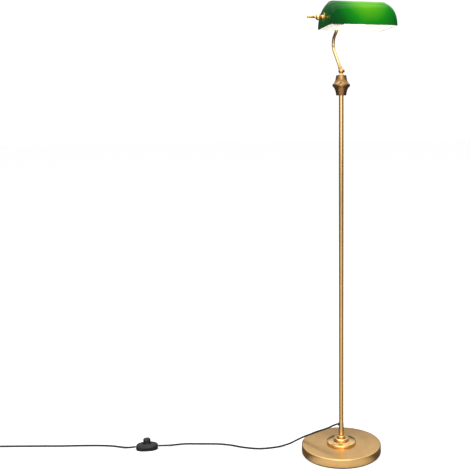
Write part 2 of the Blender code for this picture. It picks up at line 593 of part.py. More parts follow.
def build_switch():
    body = pivot("foot_switch", SWITCH_PLACE)
    floor = lofted("switch_base", [oval(0.0365, 0.0210, 0.0), oval(0.0375, 0.0220, 0.0012),
                                   oval(0.0375, 0.0220, 0.0060)], PLASTIC, parent=body)
    count = 24
    lip = BUTTON_RADIUS + GAP
    shell = [oval(0.0385, 0.0230, 0.0063), oval(0.0385, 0.0230, 0.0110), oval(0.0375, 0.0222, 0.0145),
             oval(0.0345, 0.0198, 0.0180), oval(0.0290, 0.0175, 0.0202), circle(0.0150, 0.0215, count),
             circle(0.0142, 0.0235, count), circle(lip, 0.0235, count), circle(lip, 0.0190, count),
             oval(0.0285, 0.0160, 0.0180), oval(0.0345, 0.0190, 0.0140), oval(0.0365, 0.0210, 0.0100),
             oval(0.0365, 0.0210, 0.0063)]
    lofted("switch_cover", shell, PLASTIC, parent=body, closed=True)
    block = [oval(0.0240, 0.0110, z, power=6) for z in (0.0063, 0.0110)]
    lofted("switch_contacts", block, COPPER, parent=body)
    tube_curve("switch_spring", helix(0.0070, 0.0118, 0.0158, 2, 10), 0.0004, STEEL, 0, body)
    for name, x in (("switch_screw_left", -0.0290), ("switch_screw_right", 0.0290)):
        hole = cutter(name + "_cutter", turned_mesh([(0, -0.001), (0.0035, -0.001), (0.0035, 0.0030),
                                                     (0.0017, 0.0030), (0.0017, 0.0080), (0, 0.0080)], 12),
                      Matrix.Translation((x, 0, 0)), body)
        combine(floor, hole, "DIFFERENCE")
        turned(name, [(0, 0.0008), (0.0030, 0.0008), (0.0030, 0.0026), (0.0014, 0.0027), (0.0014, 0.0105),
                      (0, 0.0105)], STEEL, 12, Matrix.Translation((x, 0, 0)), body)
    button = pivot("button_travel", Matrix.Identity(4), body)
    turned("switch_button", [(0, 0.0163), (BUTTON_RADIUS, 0.0163), (BUTTON_RADIUS, 0.0355), (0.0120, 0.0374),
                             (0.0098, 0.0385), (0.0078, 0.0379), (0, 0.0375)], PLASTIC, 24, parent=button)


def build_lead():
    start, *rest = LEAD_TO_SWITCH
    straight_out = [Vector(start)] + smooth_route(rest, 0.017)
    tube_curve("lead_to_switch", straight_out, CORD_RADIUS, PLASTIC, 2)
    tube_curve("lead_to_coil", smooth_route(LEAD_TO_COIL, 0.017), CORD_RADIUS, PLASTIC, 2)
    tube_curve("lead_to_plug", [Vector(point) for point in LEAD_TO_PLUG], CORD_RADIUS, PLASTIC, 2)
    inside = COIL_RADIUS - COIL_HALF
    outside = COIL_RADIUS + COIL_HALF
    section = [(inside, COIL_BOTTOM), (outside, COIL_BOTTOM), (outside, COIL_TOP), (inside, COIL_TOP)]
    turned("lead_coil", section, PLASTIC, 24, Matrix.Translation(COIL_CENTRE))


def plug_loop(half_width, half_height, along):
    """A section across the plug, which lies along its own X."""
    corner = min(half_height * 0.9, 0.0045)
    points = []
    for sy, sz, start in ((1, 1, 0), (-1, 1, 90), (-1, -1, 180), (1, -1, 270)):
        for step in range(3):
            a = math.radians(start + 45 * step)
            points.append(Vector((along, sy * (half_width - corner) + corner * math.cos(a),
                                  sz * (half_height - corner) + corner * math.sin(a))))
    return points


def build_plug():
    plug = pivot("plug", Matrix.Translation(PLUG_START) @ Matrix.Rotation(PLUG_TURN, 4, "Z"))
    sections = [(0.0042, 0.0042, 0.0), (0.0052, 0.0050, 0.0200), (0.0085, 0.0058, 0.0230),
                (0.0150, 0.0066, 0.0320), (0.0176, 0.0068, 0.0400), (0.0176, 0.0068, 0.0460),
                (0.0130, 0.0064, 0.0540), (0.0125, 0.0062, 0.0560)]
    lofted("plug_body", [plug_loop(*section) for section in sections], PLASTIC, parent=plug)
    for name, y in (("plug_pin_left", -0.0090), ("plug_pin_right", 0.0090)):
        turned(name, [(0, 0.0563), (0.0020, 0.0563), (0.0020, 0.0740), (0.0012, 0.0752), (0, 0.0754)],
               STEEL, 12, aim((1, 0, 0), (0, y, 0)), plug)


build_base()
build_collar()
build_pole()
build_cap()
swivel_pivot = pivot("swivel_pivot", Matrix.Identity(4))
build_swivel(swivel_pivot)
build_lower_knuckle(swivel_pivot)
arm_pivot = pivot("arm_pivot", Matrix.Translation(KNUCKLE), swivel_pivot)
build_arm(arm_pivot)
head_pivot = pivot("head_pivot", Matrix.Translation(HEAD - KNUCKLE) @ Matrix.Rotation(HEAD_TILT, 4, "X"),
                   arm_pivot)
build_shade(head_pivot)
build_head_mount(head_pivot)
build_lamp(head_pivot)
build_switch()
build_lead()
build_plug()
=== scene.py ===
# %% [markdown]
# # A pharmacy floor lamp
# A heavy round base, a slim brass pole in three lengths, a swivelling jointed arm, a half-barrel shade of
# green glass over white, and a black lead with a foot switch. The mechanical model comes in as a fixed
# frame: every size and place below is read from it. This script gives each piece its fine surface and its
# finish.

# %% Load the frame
import json
import math

import bmesh
import bpy
from mathutils import Matrix, Vector


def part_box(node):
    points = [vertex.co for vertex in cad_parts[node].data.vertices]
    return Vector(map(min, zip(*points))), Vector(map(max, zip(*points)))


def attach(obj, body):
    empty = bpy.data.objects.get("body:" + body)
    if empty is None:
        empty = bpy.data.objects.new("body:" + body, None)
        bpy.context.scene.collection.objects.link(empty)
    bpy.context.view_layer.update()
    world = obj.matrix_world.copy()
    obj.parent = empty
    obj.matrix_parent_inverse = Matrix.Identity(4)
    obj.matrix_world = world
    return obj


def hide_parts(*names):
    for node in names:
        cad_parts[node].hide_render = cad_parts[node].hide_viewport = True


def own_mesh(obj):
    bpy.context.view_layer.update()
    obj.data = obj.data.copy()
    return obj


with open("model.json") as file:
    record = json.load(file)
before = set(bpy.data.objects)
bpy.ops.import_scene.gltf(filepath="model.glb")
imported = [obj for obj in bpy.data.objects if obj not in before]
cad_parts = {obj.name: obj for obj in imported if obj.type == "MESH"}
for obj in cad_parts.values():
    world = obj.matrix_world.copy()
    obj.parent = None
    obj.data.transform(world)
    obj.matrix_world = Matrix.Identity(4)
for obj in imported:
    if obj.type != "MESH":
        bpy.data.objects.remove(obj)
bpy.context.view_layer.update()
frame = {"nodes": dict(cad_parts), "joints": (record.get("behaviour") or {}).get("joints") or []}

joints = {joint["name"]: joint for joint in frame["joints"]}

# %% [markdown]
# ## The camera
# A camera a little above the middle of the lamp looks down on the base and up into the shade. It is turned
# a bit away from the pole, and a small lens shift brings the pole back to its place in the frame. A larger
# shift alone could do it, but then the views from other sides would lose the lamp.

# %% Camera
CAMERA_PLACE = Vector((-0.8218, -2.4178, 1.1602))
CAMERA_HEADING = math.radians(16.114)      # turned from +Y towards +X
CAMERA_PITCH = math.radians(8.905)         # looking down
CAMERA_ROLL = math.radians(-0.418)

camera_data = bpy.data.cameras.new("camera")
camera_data.lens = 59.65
camera_data.sensor_width = 36.0
camera_data.shift_x = -0.15
camera = bpy.data.objects.new("camera", camera_data)
bpy.context.collection.objects.link(camera)
camera.matrix_world = (Matrix.Translation(CAMERA_PLACE) @ Matrix.Rotation(-CAMERA_HEADING, 4, "Z")
                       @ Matrix.Rotation(math.pi / 2 - CAMERA_PITCH, 4, "X")
                       @ Matrix.Rotation(CAMERA_ROLL, 4, "Z"))
bpy.context.scene.camera = camera
print("the camera stands", round((CAMERA_PLACE.xy).length, 3), "m from the pole")

# %% [markdown]
# ## Node groups for tool marks and age
# Brass shows how it was made: a spun disc has fine rings, and a drawn tube has long streaks. Both could be
# painted as pictures, but a noise texture that is stretched one way gives them at any size. Each effect is
# one node group, which the materials below use with their own values.


# %% Helpers for node trees
def new_group(name, inputs, outputs):
    """An empty shader node group with float or vector inputs and float outputs."""
    tree = bpy.data.node_groups.new(name, "ShaderNodeTree")
    for label, kind, value in inputs:
        socket = tree.interface.new_socket(name=label, in_out="INPUT", socket_type="NodeSocket" + kind)
        if value is not None:
            socket.default_value = value
    for label in outputs:
        tree.interface.new_socket(name=label, in_out="OUTPUT", socket_type="NodeSocketFloat")
    return tree, tree.nodes.new("NodeGroupInput"), tree.nodes.new("NodeGroupOutput")


def feed(tree, socket, value):
    """Link an output to a socket, or set the socket to a plain value."""
    if isinstance(value, bpy.types.NodeSocket):
        tree.links.new(value, socket)
    else:
        socket.default_value = value


def math_node(tree, operation, *values, kind="Math"):
    """A math node fed by numbers or sockets."""
    node = tree.nodes.new("ShaderNode" + kind)
    node.operation = operation
    for socket, value in zip(node.inputs, values):
        feed(tree, socket, value)
    return node.outputs[0]


def vector_node(tree, operation, *values):
    """A vector math node fed by vectors or sockets."""
    return math_node(tree, operation, *values, kind="VectorMath")


def blend(tree, first, first_share, second, second_share):
    """Two values added, each with its own share."""
    return math_node(tree, "ADD", math_node(tree, "MULTIPLY", first, first_share),
                     math_node(tree, "MULTIPLY", second, second_share))


def noise_node(tree, vector, scale=1.0, detail=3.0, roughness=0.5):
    """The value of a noise texture read at a vector."""
    node = tree.nodes.new("ShaderNodeTexNoise")
    node.inputs["Scale"].default_value = scale
    node.inputs["Detail"].default_value = detail
    node.inputs["Roughness"].default_value = roughness
    tree.links.new(vector, node.inputs["Vector"])
    return node.outputs["Fac"]


def span_node(tree, value, eased=False, **ends):
    """A value moved from one span to another; an eased span has no hard ends."""
    node = tree.nodes.new("ShaderNodeMapRange")
    if eased:
        node.interpolation_type = "SMOOTHSTEP"
    for label, end in ends.items():
        node.inputs[label.replace("_", " ")].default_value = end
    tree.links.new(value, node.inputs["Value"])
    return node.outputs["Result"]


# %% The spun rings, the drawn streaks and the handling marks
def make_lathe_marks():
    """Rings about the local Z axis, from the distance to that axis and the height."""
    tree, source, result = new_group("lathe_marks", [("Vector", "Vector", None),
                                                     ("Rings per metre", "Float", 900.0)], ["Tone", "Height"])
    parts = tree.nodes.new("ShaderNodeSeparateXYZ")
    tree.links.new(source.outputs["Vector"], parts.inputs[0])
    squares = [math_node(tree, "MULTIPLY", parts.outputs[i], parts.outputs[i]) for i in (0, 1)]
    across = math_node(tree, "SQRT", math_node(tree, "ADD", *squares))
    rings = source.outputs["Rings per metre"]
    ring_place = tree.nodes.new("ShaderNodeCombineXYZ")
    tree.links.new(math_node(tree, "MULTIPLY", across, rings), ring_place.inputs[0])
    tree.links.new(math_node(tree, "MULTIPLY", parts.outputs[2], rings), ring_place.inputs[2])
    fine = noise_node(tree, ring_place.outputs[0], 1.0, 4.0, 0.6)
    wide = noise_node(tree, ring_place.outputs[0], 0.12, 2.0)
    tree.links.new(blend(tree, fine, 0.6, wide, 0.4), result.inputs["Tone"])
    tree.links.new(fine, result.inputs["Height"])
    return tree


def make_drawn_streaks():
    """Long streaks along the local Z axis, as on a tube that was drawn and brushed."""
    tree, source, result = new_group("drawn_streaks", [("Vector", "Vector", None)], ["Tone", "Height"])
    place = source.outputs["Vector"]
    fine = noise_node(tree, vector_node(tree, "MULTIPLY", place, (520.0, 520.0, 8.0)), 1.0, 3.0, 0.6)
    wide = noise_node(tree, vector_node(tree, "MULTIPLY", place, (60.0, 60.0, 5.0)), 1.0, 2.0)
    tree.links.new(blend(tree, fine, 0.5, wide, 0.5), result.inputs["Tone"])
    tree.links.new(fine, result.inputs["Height"])
    return tree


def make_handling():
    """Broad smudges and fine scuffs from hands and dusters."""
    tree, source, result = new_group("handling", [("Vector", "Vector", None), ("Size", "Float", 40.0)],
                                     ["Smudge", "Scuff"])
    scaled = vector_node(tree, "SCALE", source.outputs["Vector"])
    tree.links.new(source.outputs["Size"], scaled.node.inputs["Scale"])
    broad = noise_node(tree, scaled, 1.0, 3.0, 0.55)
    tree.links.new(span_node(tree, broad, From_Min=0.42, From_Max=0.68), result.inputs["Smudge"])
    tree.links.new(noise_node(tree, scaled, 22.0, 5.0, 0.7), result.inputs["Scuff"])
    return tree


LATHE_MARKS = make_lathe_marks()
DRAWN_STREAKS = make_drawn_streaks()
HANDLING = make_handling()
print("node groups:", [tree.name for tree in bpy.data.node_groups])

# %% [markdown]
# ## A material with two tones
# Every finish here follows one plan: a dark and a light tone mixed by a mask, a roughness that follows the
# same mask, and a fine bump. Numbers that are the same all over the surface are set on the shader's own
# sockets.


# %% The plan of a finish
def start_finish(name, **uniform):
    """A Principled material with its uniform values set, and the object's own coordinates."""
    made = bpy.data.materials.new(name)
    made.use_nodes = True
    tree = made.node_tree
    shader = tree.nodes["Principled BSDF"]
    for label, value in uniform.items():
        shader.inputs[label.replace("_", " ")].default_value = value
    place = tree.nodes.new("ShaderNodeTexCoord").outputs["Object"]
    return made, tree, shader, place


def use_group(tree, group, vector, **values):
    """One of the node groups above, with its own values. Returns its outputs."""
    node = tree.nodes.new("ShaderNodeGroup")
    node.node_tree = group
    tree.links.new(vector, node.inputs["Vector"])
    for label, value in values.items():
        node.inputs[label.replace("_", " ")].default_value = value
    return node.outputs


def mix_tones(tree, shader, mask, dark, light, socket="Base Color"):
    """Two colours mixed by a mask, into one of the shader's colour sockets."""
    mix = tree.nodes.new("ShaderNodeMix")
    mix.data_type = "RGBA"
    mix.inputs["A"].default_value = (*dark, 1.0)
    mix.inputs["B"].default_value = (*light, 1.0)
    tree.links.new(mask, mix.inputs["Factor"])
    tree.links.new(mix.outputs["Result"], shader.inputs[socket])


def vary_roughness(tree, shader, mask, smooth, rough):
    """A roughness that follows a mask."""
    tree.links.new(span_node(tree, mask, To_Min=smooth, To_Max=rough), shader.inputs["Roughness"])


def add_bump(tree, shader, height, distance, strength=1.0):
    """Fine relief, as deep as a distance in metres."""
    bump = tree.nodes.new("ShaderNodeBump")
    bump.inputs["Strength"].default_value = strength
    bump.inputs["Distance"].default_value = distance
    tree.links.new(height, bump.inputs["Height"])
    tree.links.new(bump.outputs["Normal"], shader.inputs["Normal"])


# %% [markdown]
# ## The metals
# Lacquered brass is a metal under a thin clear coat. The discs and the base are spun, the pole and the arm
# are drawn, and the knuckles and the knob are polished. The double cone below the arm is a darker copy of the
# spun brass: partly its darker bronze finish, partly painted shade for the dark surroundings its cones
# reflect.


# %% Brass, bronze, steel, iron and copper
BRASS_DARK = (0.62, 0.37, 0.135)
BRASS_LIGHT = (0.86, 0.555, 0.235)


def make_spun_brass(name, dark, light, smooth, rough):
    made, tree, shader, place = start_finish(name, Metallic=1.0, Anisotropic=0.45, Coat_Weight=0.08,
                                             Coat_Roughness=0.12)
    marks = use_group(tree, LATHE_MARKS, place)
    hands = use_group(tree, HANDLING, place, Size=24.0)
    mask = math_node(tree, "SUBTRACT", marks["Tone"], math_node(tree, "MULTIPLY", hands["Smudge"], 0.22))
    mix_tones(tree, shader, mask, dark, light)
    vary_roughness(tree, shader, marks["Tone"], smooth, rough)
    add_bump(tree, shader, marks["Height"], 0.00002, 0.5)
    return made


def make_drawn_brass():
    made, tree, shader, place = start_finish("drawn_brass", Metallic=1.0, Coat_Weight=0.12,
                                             Coat_Roughness=0.10)
    marks = use_group(tree, DRAWN_STREAKS, place)
    hands = use_group(tree, HANDLING, place, Size=30.0)
    mask = math_node(tree, "SUBTRACT", marks["Tone"], math_node(tree, "MULTIPLY", hands["Smudge"], 0.15))
    mix_tones(tree, shader, mask, BRASS_DARK, BRASS_LIGHT)
    vary_roughness(tree, shader, marks["Tone"], 0.19, 0.24)
    add_bump(tree, shader, marks["Height"], 0.00001, 0.12)
    return made


def make_plain_metal(name, dark, light, smooth, rough, size=60.0, bump=0.00002, **uniform):
    made, tree, shader, place = start_finish(name, Metallic=1.0, **uniform)
    hands = use_group(tree, HANDLING, place, Size=size)
    mix_tones(tree, shader, hands["Smudge"], light, dark)
    vary_roughness(tree, shader, hands["Scuff"], smooth, rough)
    add_bump(tree, shader, hands["Scuff"], bump, 0.6)
    return made


SPUN_BRASS = make_spun_brass("spun_brass", BRASS_DARK, BRASS_LIGHT, 0.24, 0.38)
# A darker copy of the spun brass: partly the cap's darker bronze finish, partly painted shade for the dark
# surroundings its cones reflect.
DARKER_BRASS_AND_SHADE = make_spun_brass("aged_brass", (0.22, 0.115, 0.045), (0.52, 0.30, 0.12), 0.22, 0.36)
DRAWN_BRASS = make_drawn_brass()
POLISHED_BRASS = make_plain_metal("polished_brass", (0.66, 0.38, 0.12), (0.86, 0.55, 0.21), 0.10, 0.22,
                                  Coat_Weight=0.3, Coat_Roughness=0.05)
ZINC = make_plain_metal("zinc_plated_steel", (0.42, 0.43, 0.45), (0.66, 0.67, 0.68), 0.25, 0.45, 140.0)
IRON = make_plain_metal("cast_iron", (0.035, 0.035, 0.038), (0.075, 0.073, 0.07), 0.6, 0.85, 90.0, 0.0004)
COPPER = make_plain_metal("copper_contact", (0.52, 0.22, 0.11), (0.80, 0.42, 0.25), 0.2, 0.4, 120.0)

# %% [markdown]
# ## Rubber, plastic, porcelain and glass
# The moulded black parts have a fine spark-eroded grain, which only a small bump can show. The shade is white
# glass cased in green. The bulb's light through it is a painted glow: an emission worked out from the
# distance to a point near the bulb's middle, so the glass glows most where it is near the bulb.


# %% Black parts and porcelain
def make_moulded(name, dark, light, smooth, rough, grain, depth, specular=0.3):
    made, tree, shader, place = start_finish(name, IOR=1.5, Specular_IOR_Level=specular)
    hands = use_group(tree, HANDLING, place, Size=70.0)
    mix_tones(tree, shader, hands["Smudge"], dark, light)
    vary_roughness(tree, shader, hands["Smudge"], smooth, rough)
    add_bump(tree, shader, noise_node(tree, place, grain, 2.0), depth, 0.5)
    return made


PLASTIC = make_moulded("moulded_plastic", (0.016, 0.016, 0.017), (0.026, 0.026, 0.027), 0.30, 0.44, 2600.0,
                       0.00005)
SHEATH = make_moulded("lead_sheath", (0.007, 0.007, 0.008), (0.014, 0.014, 0.015), 0.34, 0.50, 900.0,
                      0.00003)
RUBBER = make_moulded("black_rubber", (0.010, 0.010, 0.010), (0.020, 0.019, 0.018), 0.70, 0.90, 1500.0,
                      0.0001)
PORCELAIN = make_moulded("white_porcelain", (0.78, 0.77, 0.72), (0.86, 0.85, 0.81), 0.12, 0.20, 300.0,
                         0.00003, 0.5)
print("the four moulded finishes:", PLASTIC.name, SHEATH.name, RUBBER.name, PORCELAIN.name)

# %% The bulb's place, from the lampholder and the bulb in the frame
bulb_low, bulb_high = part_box("bulb_glass")
GLOBE_RADIUS = 0.0225
bulb_centre = (bulb_low + bulb_high) / 2
bulb_centre.x = bulb_high.x - GLOBE_RADIUS
print("the bulb's globe is centred at", [round(x, 4) for x in bulb_centre])


# %% Green glass and white glass with painted glow, and the lit bulb
# how far from the bulb the painted glow reaches, that is how far the glass is painted as still lit through
PAINTED_GLOW_REACH = 0.16                    # how far from the bulb the glass is still lit through


def make_green_glass():
    """Deep green and glossy, with a painted glow for the bulb's light through the glass."""
    made, tree, shader, place = start_finish("green_cased_glass", Roughness=0.06, IOR=1.52,
                                             Specular_IOR_Level=0.03, Coat_Weight=0.05,
                                             Coat_Roughness=0.02, Emission_Strength=1.0)
    hands = use_group(tree, HANDLING, place, Size=14.0)
    mix_tones(tree, shader, hands["Smudge"], (0.0004, 0.032, 0.005), (0.0008, 0.040, 0.007))
    # Painted glow: the emission colour falls off with the distance from a point a little right of and above
    # the bulb's middle, with a wavy edge.
    away = vector_node(tree, "DISTANCE", place, tuple(bulb_centre + Vector((0.004, 0.0, 0.030))))
    uneven = math_node(tree, "SUBTRACT", noise_node(tree, place, 26.0, 2.0), 0.5)
    wavy = math_node(tree, "ADD", away.node.outputs["Value"], math_node(tree, "MULTIPLY", uneven, 0.010))
    ramp = tree.nodes.new("ShaderNodeValToRGB")
    tree.links.new(math_node(tree, "DIVIDE", wavy, PAINTED_GLOW_REACH), ramp.inputs["Fac"])
    glow = [(0.30, (0.150, 0.560, 0.000)), (0.42, (0.070, 0.390, 0.000)), (0.55, (0.004, 0.235, 0.000)),
            (0.74, (0.000, 0.070, 0.003)), (0.92, (0.000, 0.020, 0.004))]
    stops = ramp.color_ramp.elements
    while len(stops) < len(glow):
        stops.new(0.5)
    for stop, (position, colour) in zip(stops, glow):
        stop.position = position
        stop.color = (*colour, 1.0)
    tree.links.new(ramp.outputs["Color"], shader.inputs["Emission Color"])
    return made


def make_white_glass():
    """The shade's white inner layer, with a painted warm glow all over it for the bulb's light."""
    made, tree, shader, place = start_finish("white_cased_glass", Roughness=0.18, IOR=1.5,
                                             Emission_Strength=0.13)
    hands = use_group(tree, HANDLING, place, Size=20.0)
    mix_tones(tree, shader, hands["Smudge"], (0.90, 0.88, 0.83), (0.94, 0.93, 0.90))
    # Painted glow: a warm emission on the whole inner layer stands for the bulb lighting it.
    mix_tones(tree, shader, hands["Smudge"], (1.0, 0.94, 0.86), (1.0, 0.97, 0.91), "Emission Color")
    return made


def make_bulb_glass():
    made, tree, shader, place = start_finish("opal_bulb", Roughness=0.25, Emission_Strength=3.0)
    hands = use_group(tree, HANDLING, place, Size=60.0)
    mix_tones(tree, shader, hands["Smudge"], (0.92, 0.90, 0.86), (0.95, 0.94, 0.91))
    mix_tones(tree, shader, hands["Smudge"], (1.0, 0.86, 0.66), (1.0, 0.90, 0.72), "Emission Color")
    return made


GREEN_GLASS = make_green_glass()
WHITE_GLASS = make_white_glass()
BULB_GLASS = make_bulb_glass()
print("materials:", sorted(material.name for material in bpy.data.materials))

# %% [markdown]
# ## Growing a piece from rings
# Nearly every piece is round or oval in section, so it can be grown like a pot: a circle is added, laid on
# the piece's first outline, and extruded again and again, each time onto the next outline. A Screw modifier
# would do for the turned pieces, but not for the shade, the switch and the plug, and one way for all is
# easier to follow.


# %% Rings and the grower
def lay_ring(piece, ring):
    """Move the selected ring of vertices onto its outline, point by point."""
    bm = bmesh.from_edit_mesh(piece.data)
    order = bm.verts.layers.int["order"]
    for vert in bm.verts:
        if vert.select:
            vert.co = ring[vert[order]]
    bmesh.update_edit_mesh(piece.data)


def grow(name, rings, closed=False):
    """Extrude a circle through rings of equal length; a closed wall ends where it began."""
    bpy.ops.object.select_all(action="DESELECT")
    bpy.ops.mesh.primitive_circle_add(vertices=len(rings[0]), fill_type="NOTHING" if closed else "NGON")
    piece = bpy.context.object
    piece.name = name
    piece.data.name = name
    bpy.ops.object.mode_set(mode="EDIT")
    bm = bmesh.from_edit_mesh(piece.data)
    order = bm.verts.layers.int.new("order")
    for number, vert in enumerate(bm.verts):
        vert[order] = number
    lay_ring(piece, rings[0])
    for ring in rings[1:] + (rings[:1] if closed else []):
        bpy.ops.mesh.extrude_region_move()
        lay_ring(piece, ring)
    bpy.ops.mesh.select_all(action="SELECT")
    bpy.ops.mesh.remove_doubles(threshold=0.000002)
    bpy.ops.mesh.normals_make_consistent(inside=False)
    bpy.ops.object.mode_set(mode="OBJECT")
    piece.data.attributes.remove(piece.data.attributes["order"])
    return piece


def circle_ring(radius, height, steps):
    """Points on a level circle."""
    return [Vector((radius * math.cos(math.tau * i / steps), radius * math.sin(math.tau * i / steps), height))
            for i in range(steps)]


def arc(centre, radius, start, stop, steps):
    """Points of an outline's arc; centre is (radius, height), and angles are in degrees."""
    return [(centre[0] + radius * math.cos(math.radians(start + (stop - start) * i / steps)),
             centre[1] + radius * math.sin(math.radians(start + (stop - start) * i / steps)))
            for i in range(steps + 1)]


def turn(name, outline, steps=96, closed=False):
    """A turned piece from an outline of (radius, height) points."""
    return grow(name, [circle_ring(radius, height, steps) for radius, height in outline], closed)


# %% [markdown]
# A real edge is never quite sharp: it catches the light. So each piece gets a narrow bevel on its corners,
# and its faces are shaded smooth up to an angle. A piece made along Z is then laid in its place, and its
# transform is applied, so that its place is in its mesh.


# %% Softening, placing and fitting
def soften(piece, width=0.0003, segments=2, angle=32.0):
    """Bevel the corners that are sharper than an angle."""
    bevel = piece.modifiers.new("soft_edges", "BEVEL")
    bevel.width = width
    bevel.segments = segments
    bevel.limit_method = "ANGLE"
    bevel.angle_limit = math.radians(angle)
    bpy.context.view_layer.objects.active = piece
    bpy.ops.object.modifier_apply(modifier=bevel.name)


def pick(piece):
    """Make one piece the only selected one and the active one."""
    bpy.ops.object.select_all(action="DESELECT")
    piece.select_set(True)
    bpy.context.view_layer.objects.active = piece


def put(piece, place):
    """Lay the piece at a place, and keep that place in its mesh."""
    pick(piece)
    piece.matrix_world = place
    bpy.ops.object.transform_apply(location=True, rotation=True, scale=True)


def fit(piece, body, slot, finish, *nodes, angle=34.0):
    """Shade, paint and fasten a finished piece, in place of the nodes it stands for."""
    pick(piece)
    if piece.type == "MESH":
        bpy.ops.object.shade_smooth_by_angle(angle=math.radians(angle))
    piece.data.materials.clear()
    piece.data.materials.append(finish)
    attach(piece, body)
    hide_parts(*nodes)
    faces = len(piece.data.polygons) if piece.type == "MESH" else 0
    print(piece.name, "rides on", body, "with", faces, "faces")


def carve(piece, tool, operation="DIFFERENCE"):
    """Boolean a tool into the piece, and take the tool away."""
    modifier = piece.modifiers.new("carve", "BOOLEAN")
    modifier.object = tool
    modifier.operation = operation
    modifier.solver = "EXACT"
    bpy.context.view_layer.objects.active = piece
    bpy.ops.object.modifier_apply(modifier=modifier.name)
    bpy.data.objects.remove(tool, do_unlink=True)


def drill_out(piece, radius, depth, place):
    """Cut a round hole, whose middle is at a place, along the place's Z axis."""
    bpy.ops.object.select_all(action="DESELECT")
    bpy.ops.mesh.primitive_cylinder_add(vertices=48, radius=radius, depth=depth)
    drill = bpy.context.object
    put(drill, place)
    carve(piece, drill)


def aim(direction, origin=(0, 0, 0)):
    """A place whose Z axis points along a direction."""
    swing = Vector((0, 0, 1)).rotation_difference(Vector(direction).normalized())
    return Matrix.Translation(origin) @ swing.to_matrix().to_4x4()


# %% [markdown]
# ## The lead
# The lead comes first, with the camera, because its route decides how far the lamp reaches. It leaves the
# foot, sags to the floor and wanders to the foot switch; from there it runs on to a neat coil, held by a
# tie, with the plug beside it. Each stretch is one curve with a round bevel: a tube that is as long as the
# real lead.

# %% Routes, in metres
CORD_RADIUS = 0.0030
LEAD_TO_SWITCH = [
    (-0.0034, 0.0011, 0.1000), (-0.0137, 0.0046, 0.1000), (-0.0260, 0.0098, 0.0940),
    (-0.0440, 0.0200, 0.0825), (-0.0660, 0.0330, 0.0710), (-0.0900, 0.0470, 0.0580),
    (-0.1150, 0.0620, 0.0440), (-0.1380, 0.0750, 0.0290), (-0.1590, 0.0860, 0.0150),
    (-0.1800, 0.0950, 0.0060), (-0.2067, 0.0945, 0.0034), (-0.2528, 0.0966, 0.0031),
    (-0.2850, 0.1070, 0.0031), (-0.3232, 0.1300, 0.0031), (-0.3560, 0.1570, 0.0031),
    (-0.3911, 0.1775, 0.0031), (-0.4250, 0.1900, 0.0031), (-0.4649, 0.2025, 0.0031),
    (-0.5085, 0.2160, 0.0031), (-0.5387, 0.2185, 0.0034), (-0.5600, 0.2165, 0.0046),
    (-0.5780, 0.2128, 0.0076), (-0.5920, 0.2110, 0.0096), (-0.6047, 0.2132, 0.0100),
]
LEAD_TO_COIL = [
    (-0.6823, 0.2268, 0.0100), (-0.6960, 0.2294, 0.0090), (-0.7130, 0.2400, 0.0058),
    (-0.7320, 0.2560, 0.0034), (-0.7600, 0.2740, 0.0031), (-0.8050, 0.2920, 0.0031),
    (-0.8640, 0.3095, 0.0031), (-0.9300, 0.3265, 0.0031), (-1.0000, 0.3475, 0.0031),
    (-1.0700, 0.3680, 0.0031), (-1.1400, 0.3880, 0.0031), (-1.1855, 0.4012, 0.0032),
]
LEAD_TO_PLUG = [(-1.2160, 0.4043, 0.0078), (-1.2290, 0.4083, 0.0072), (-1.2422, 0.4123, 0.0070)]


# %% A smooth line through a route, and the coil's turns
def smooth_route(points, spacing):
    """Points at an even spacing on a smooth curve through the given ones."""
    knots = [Vector(point) for point in points]
    knots = [2 * knots[0] - knots[1]] + knots + [2 * knots[-1] - knots[-2]]
    dense = []
    for a, b, c, d in zip(knots, knots[1:], knots[2:], knots[3:]):
        for i in range(12):
            t = i / 12
            dense.append(0.5 * (2 * b + (c - a) * t + (2 * a - 5 * b + 4 * c - d) * t ** 2
                                + (3 * b - a - 3 * c + d) * t ** 3))
    dense.append(knots[-2])
    total = sum((q - p).length for p, q in zip(dense, dense[1:]))
    count = max(round(total / spacing), 2)
    even, walked, target = [dense[0]], 0.0, total / count
    for p, q in zip(dense, dense[1:]):
        step = (q - p).length
        while walked + step >= target and len(even) < count:
            even.append(p.lerp(q, (target - walked) / step))
            target += total / count
        walked += step
    return even + [dense[-1]]


coil_low, coil_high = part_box("lead_coil")
coil_centre = (coil_low + coil_high) / 2
COIL_MIDDLE = 0.0330                 # radius at the middle of the turns
COIL_START = math.radians(252.9)     # where the lead joins and leaves the coil
# Each turn's own lane: outer, inner, inner on top, outer on top, and the way out beside them.
LANES = [(COIL_MIDDLE + CORD_RADIUS, 0.0037), (COIL_MIDDLE - CORD_RADIUS, 0.0037),
         (COIL_MIDDLE - CORD_RADIUS, 0.0097), (COIL_MIDDLE + CORD_RADIUS, 0.0097),
         (COIL_MIDDLE + 3 * CORD_RADIUS, 0.0082)]
CROSSING = 1 / 6                     # share of a turn in which the lead changes lanes


def coil_points(per_turn=44):
    """Four turns, two beside each other and two on top, clockwise from above."""
    points = []
    for step in range(4 * per_turn + 1):
        turns = min(step / per_turn, 3.9999)
        lane = int(turns)
        share = max(0.0, (turns - lane - (1 - CROSSING)) / CROSSING)
        share = share * share * (3 - 2 * share)
        radius = LANES[lane][0] + (LANES[lane + 1][0] - LANES[lane][0]) * share
        height = LANES[lane][1] + (LANES[lane + 1][1] - LANES[lane][1]) * share
        angle = COIL_START - math.tau * turns
        points.append(Vector((coil_centre.x + radius * math.cos(angle),
                              coil_centre.y + radius * math.sin(angle), height)))
    return points


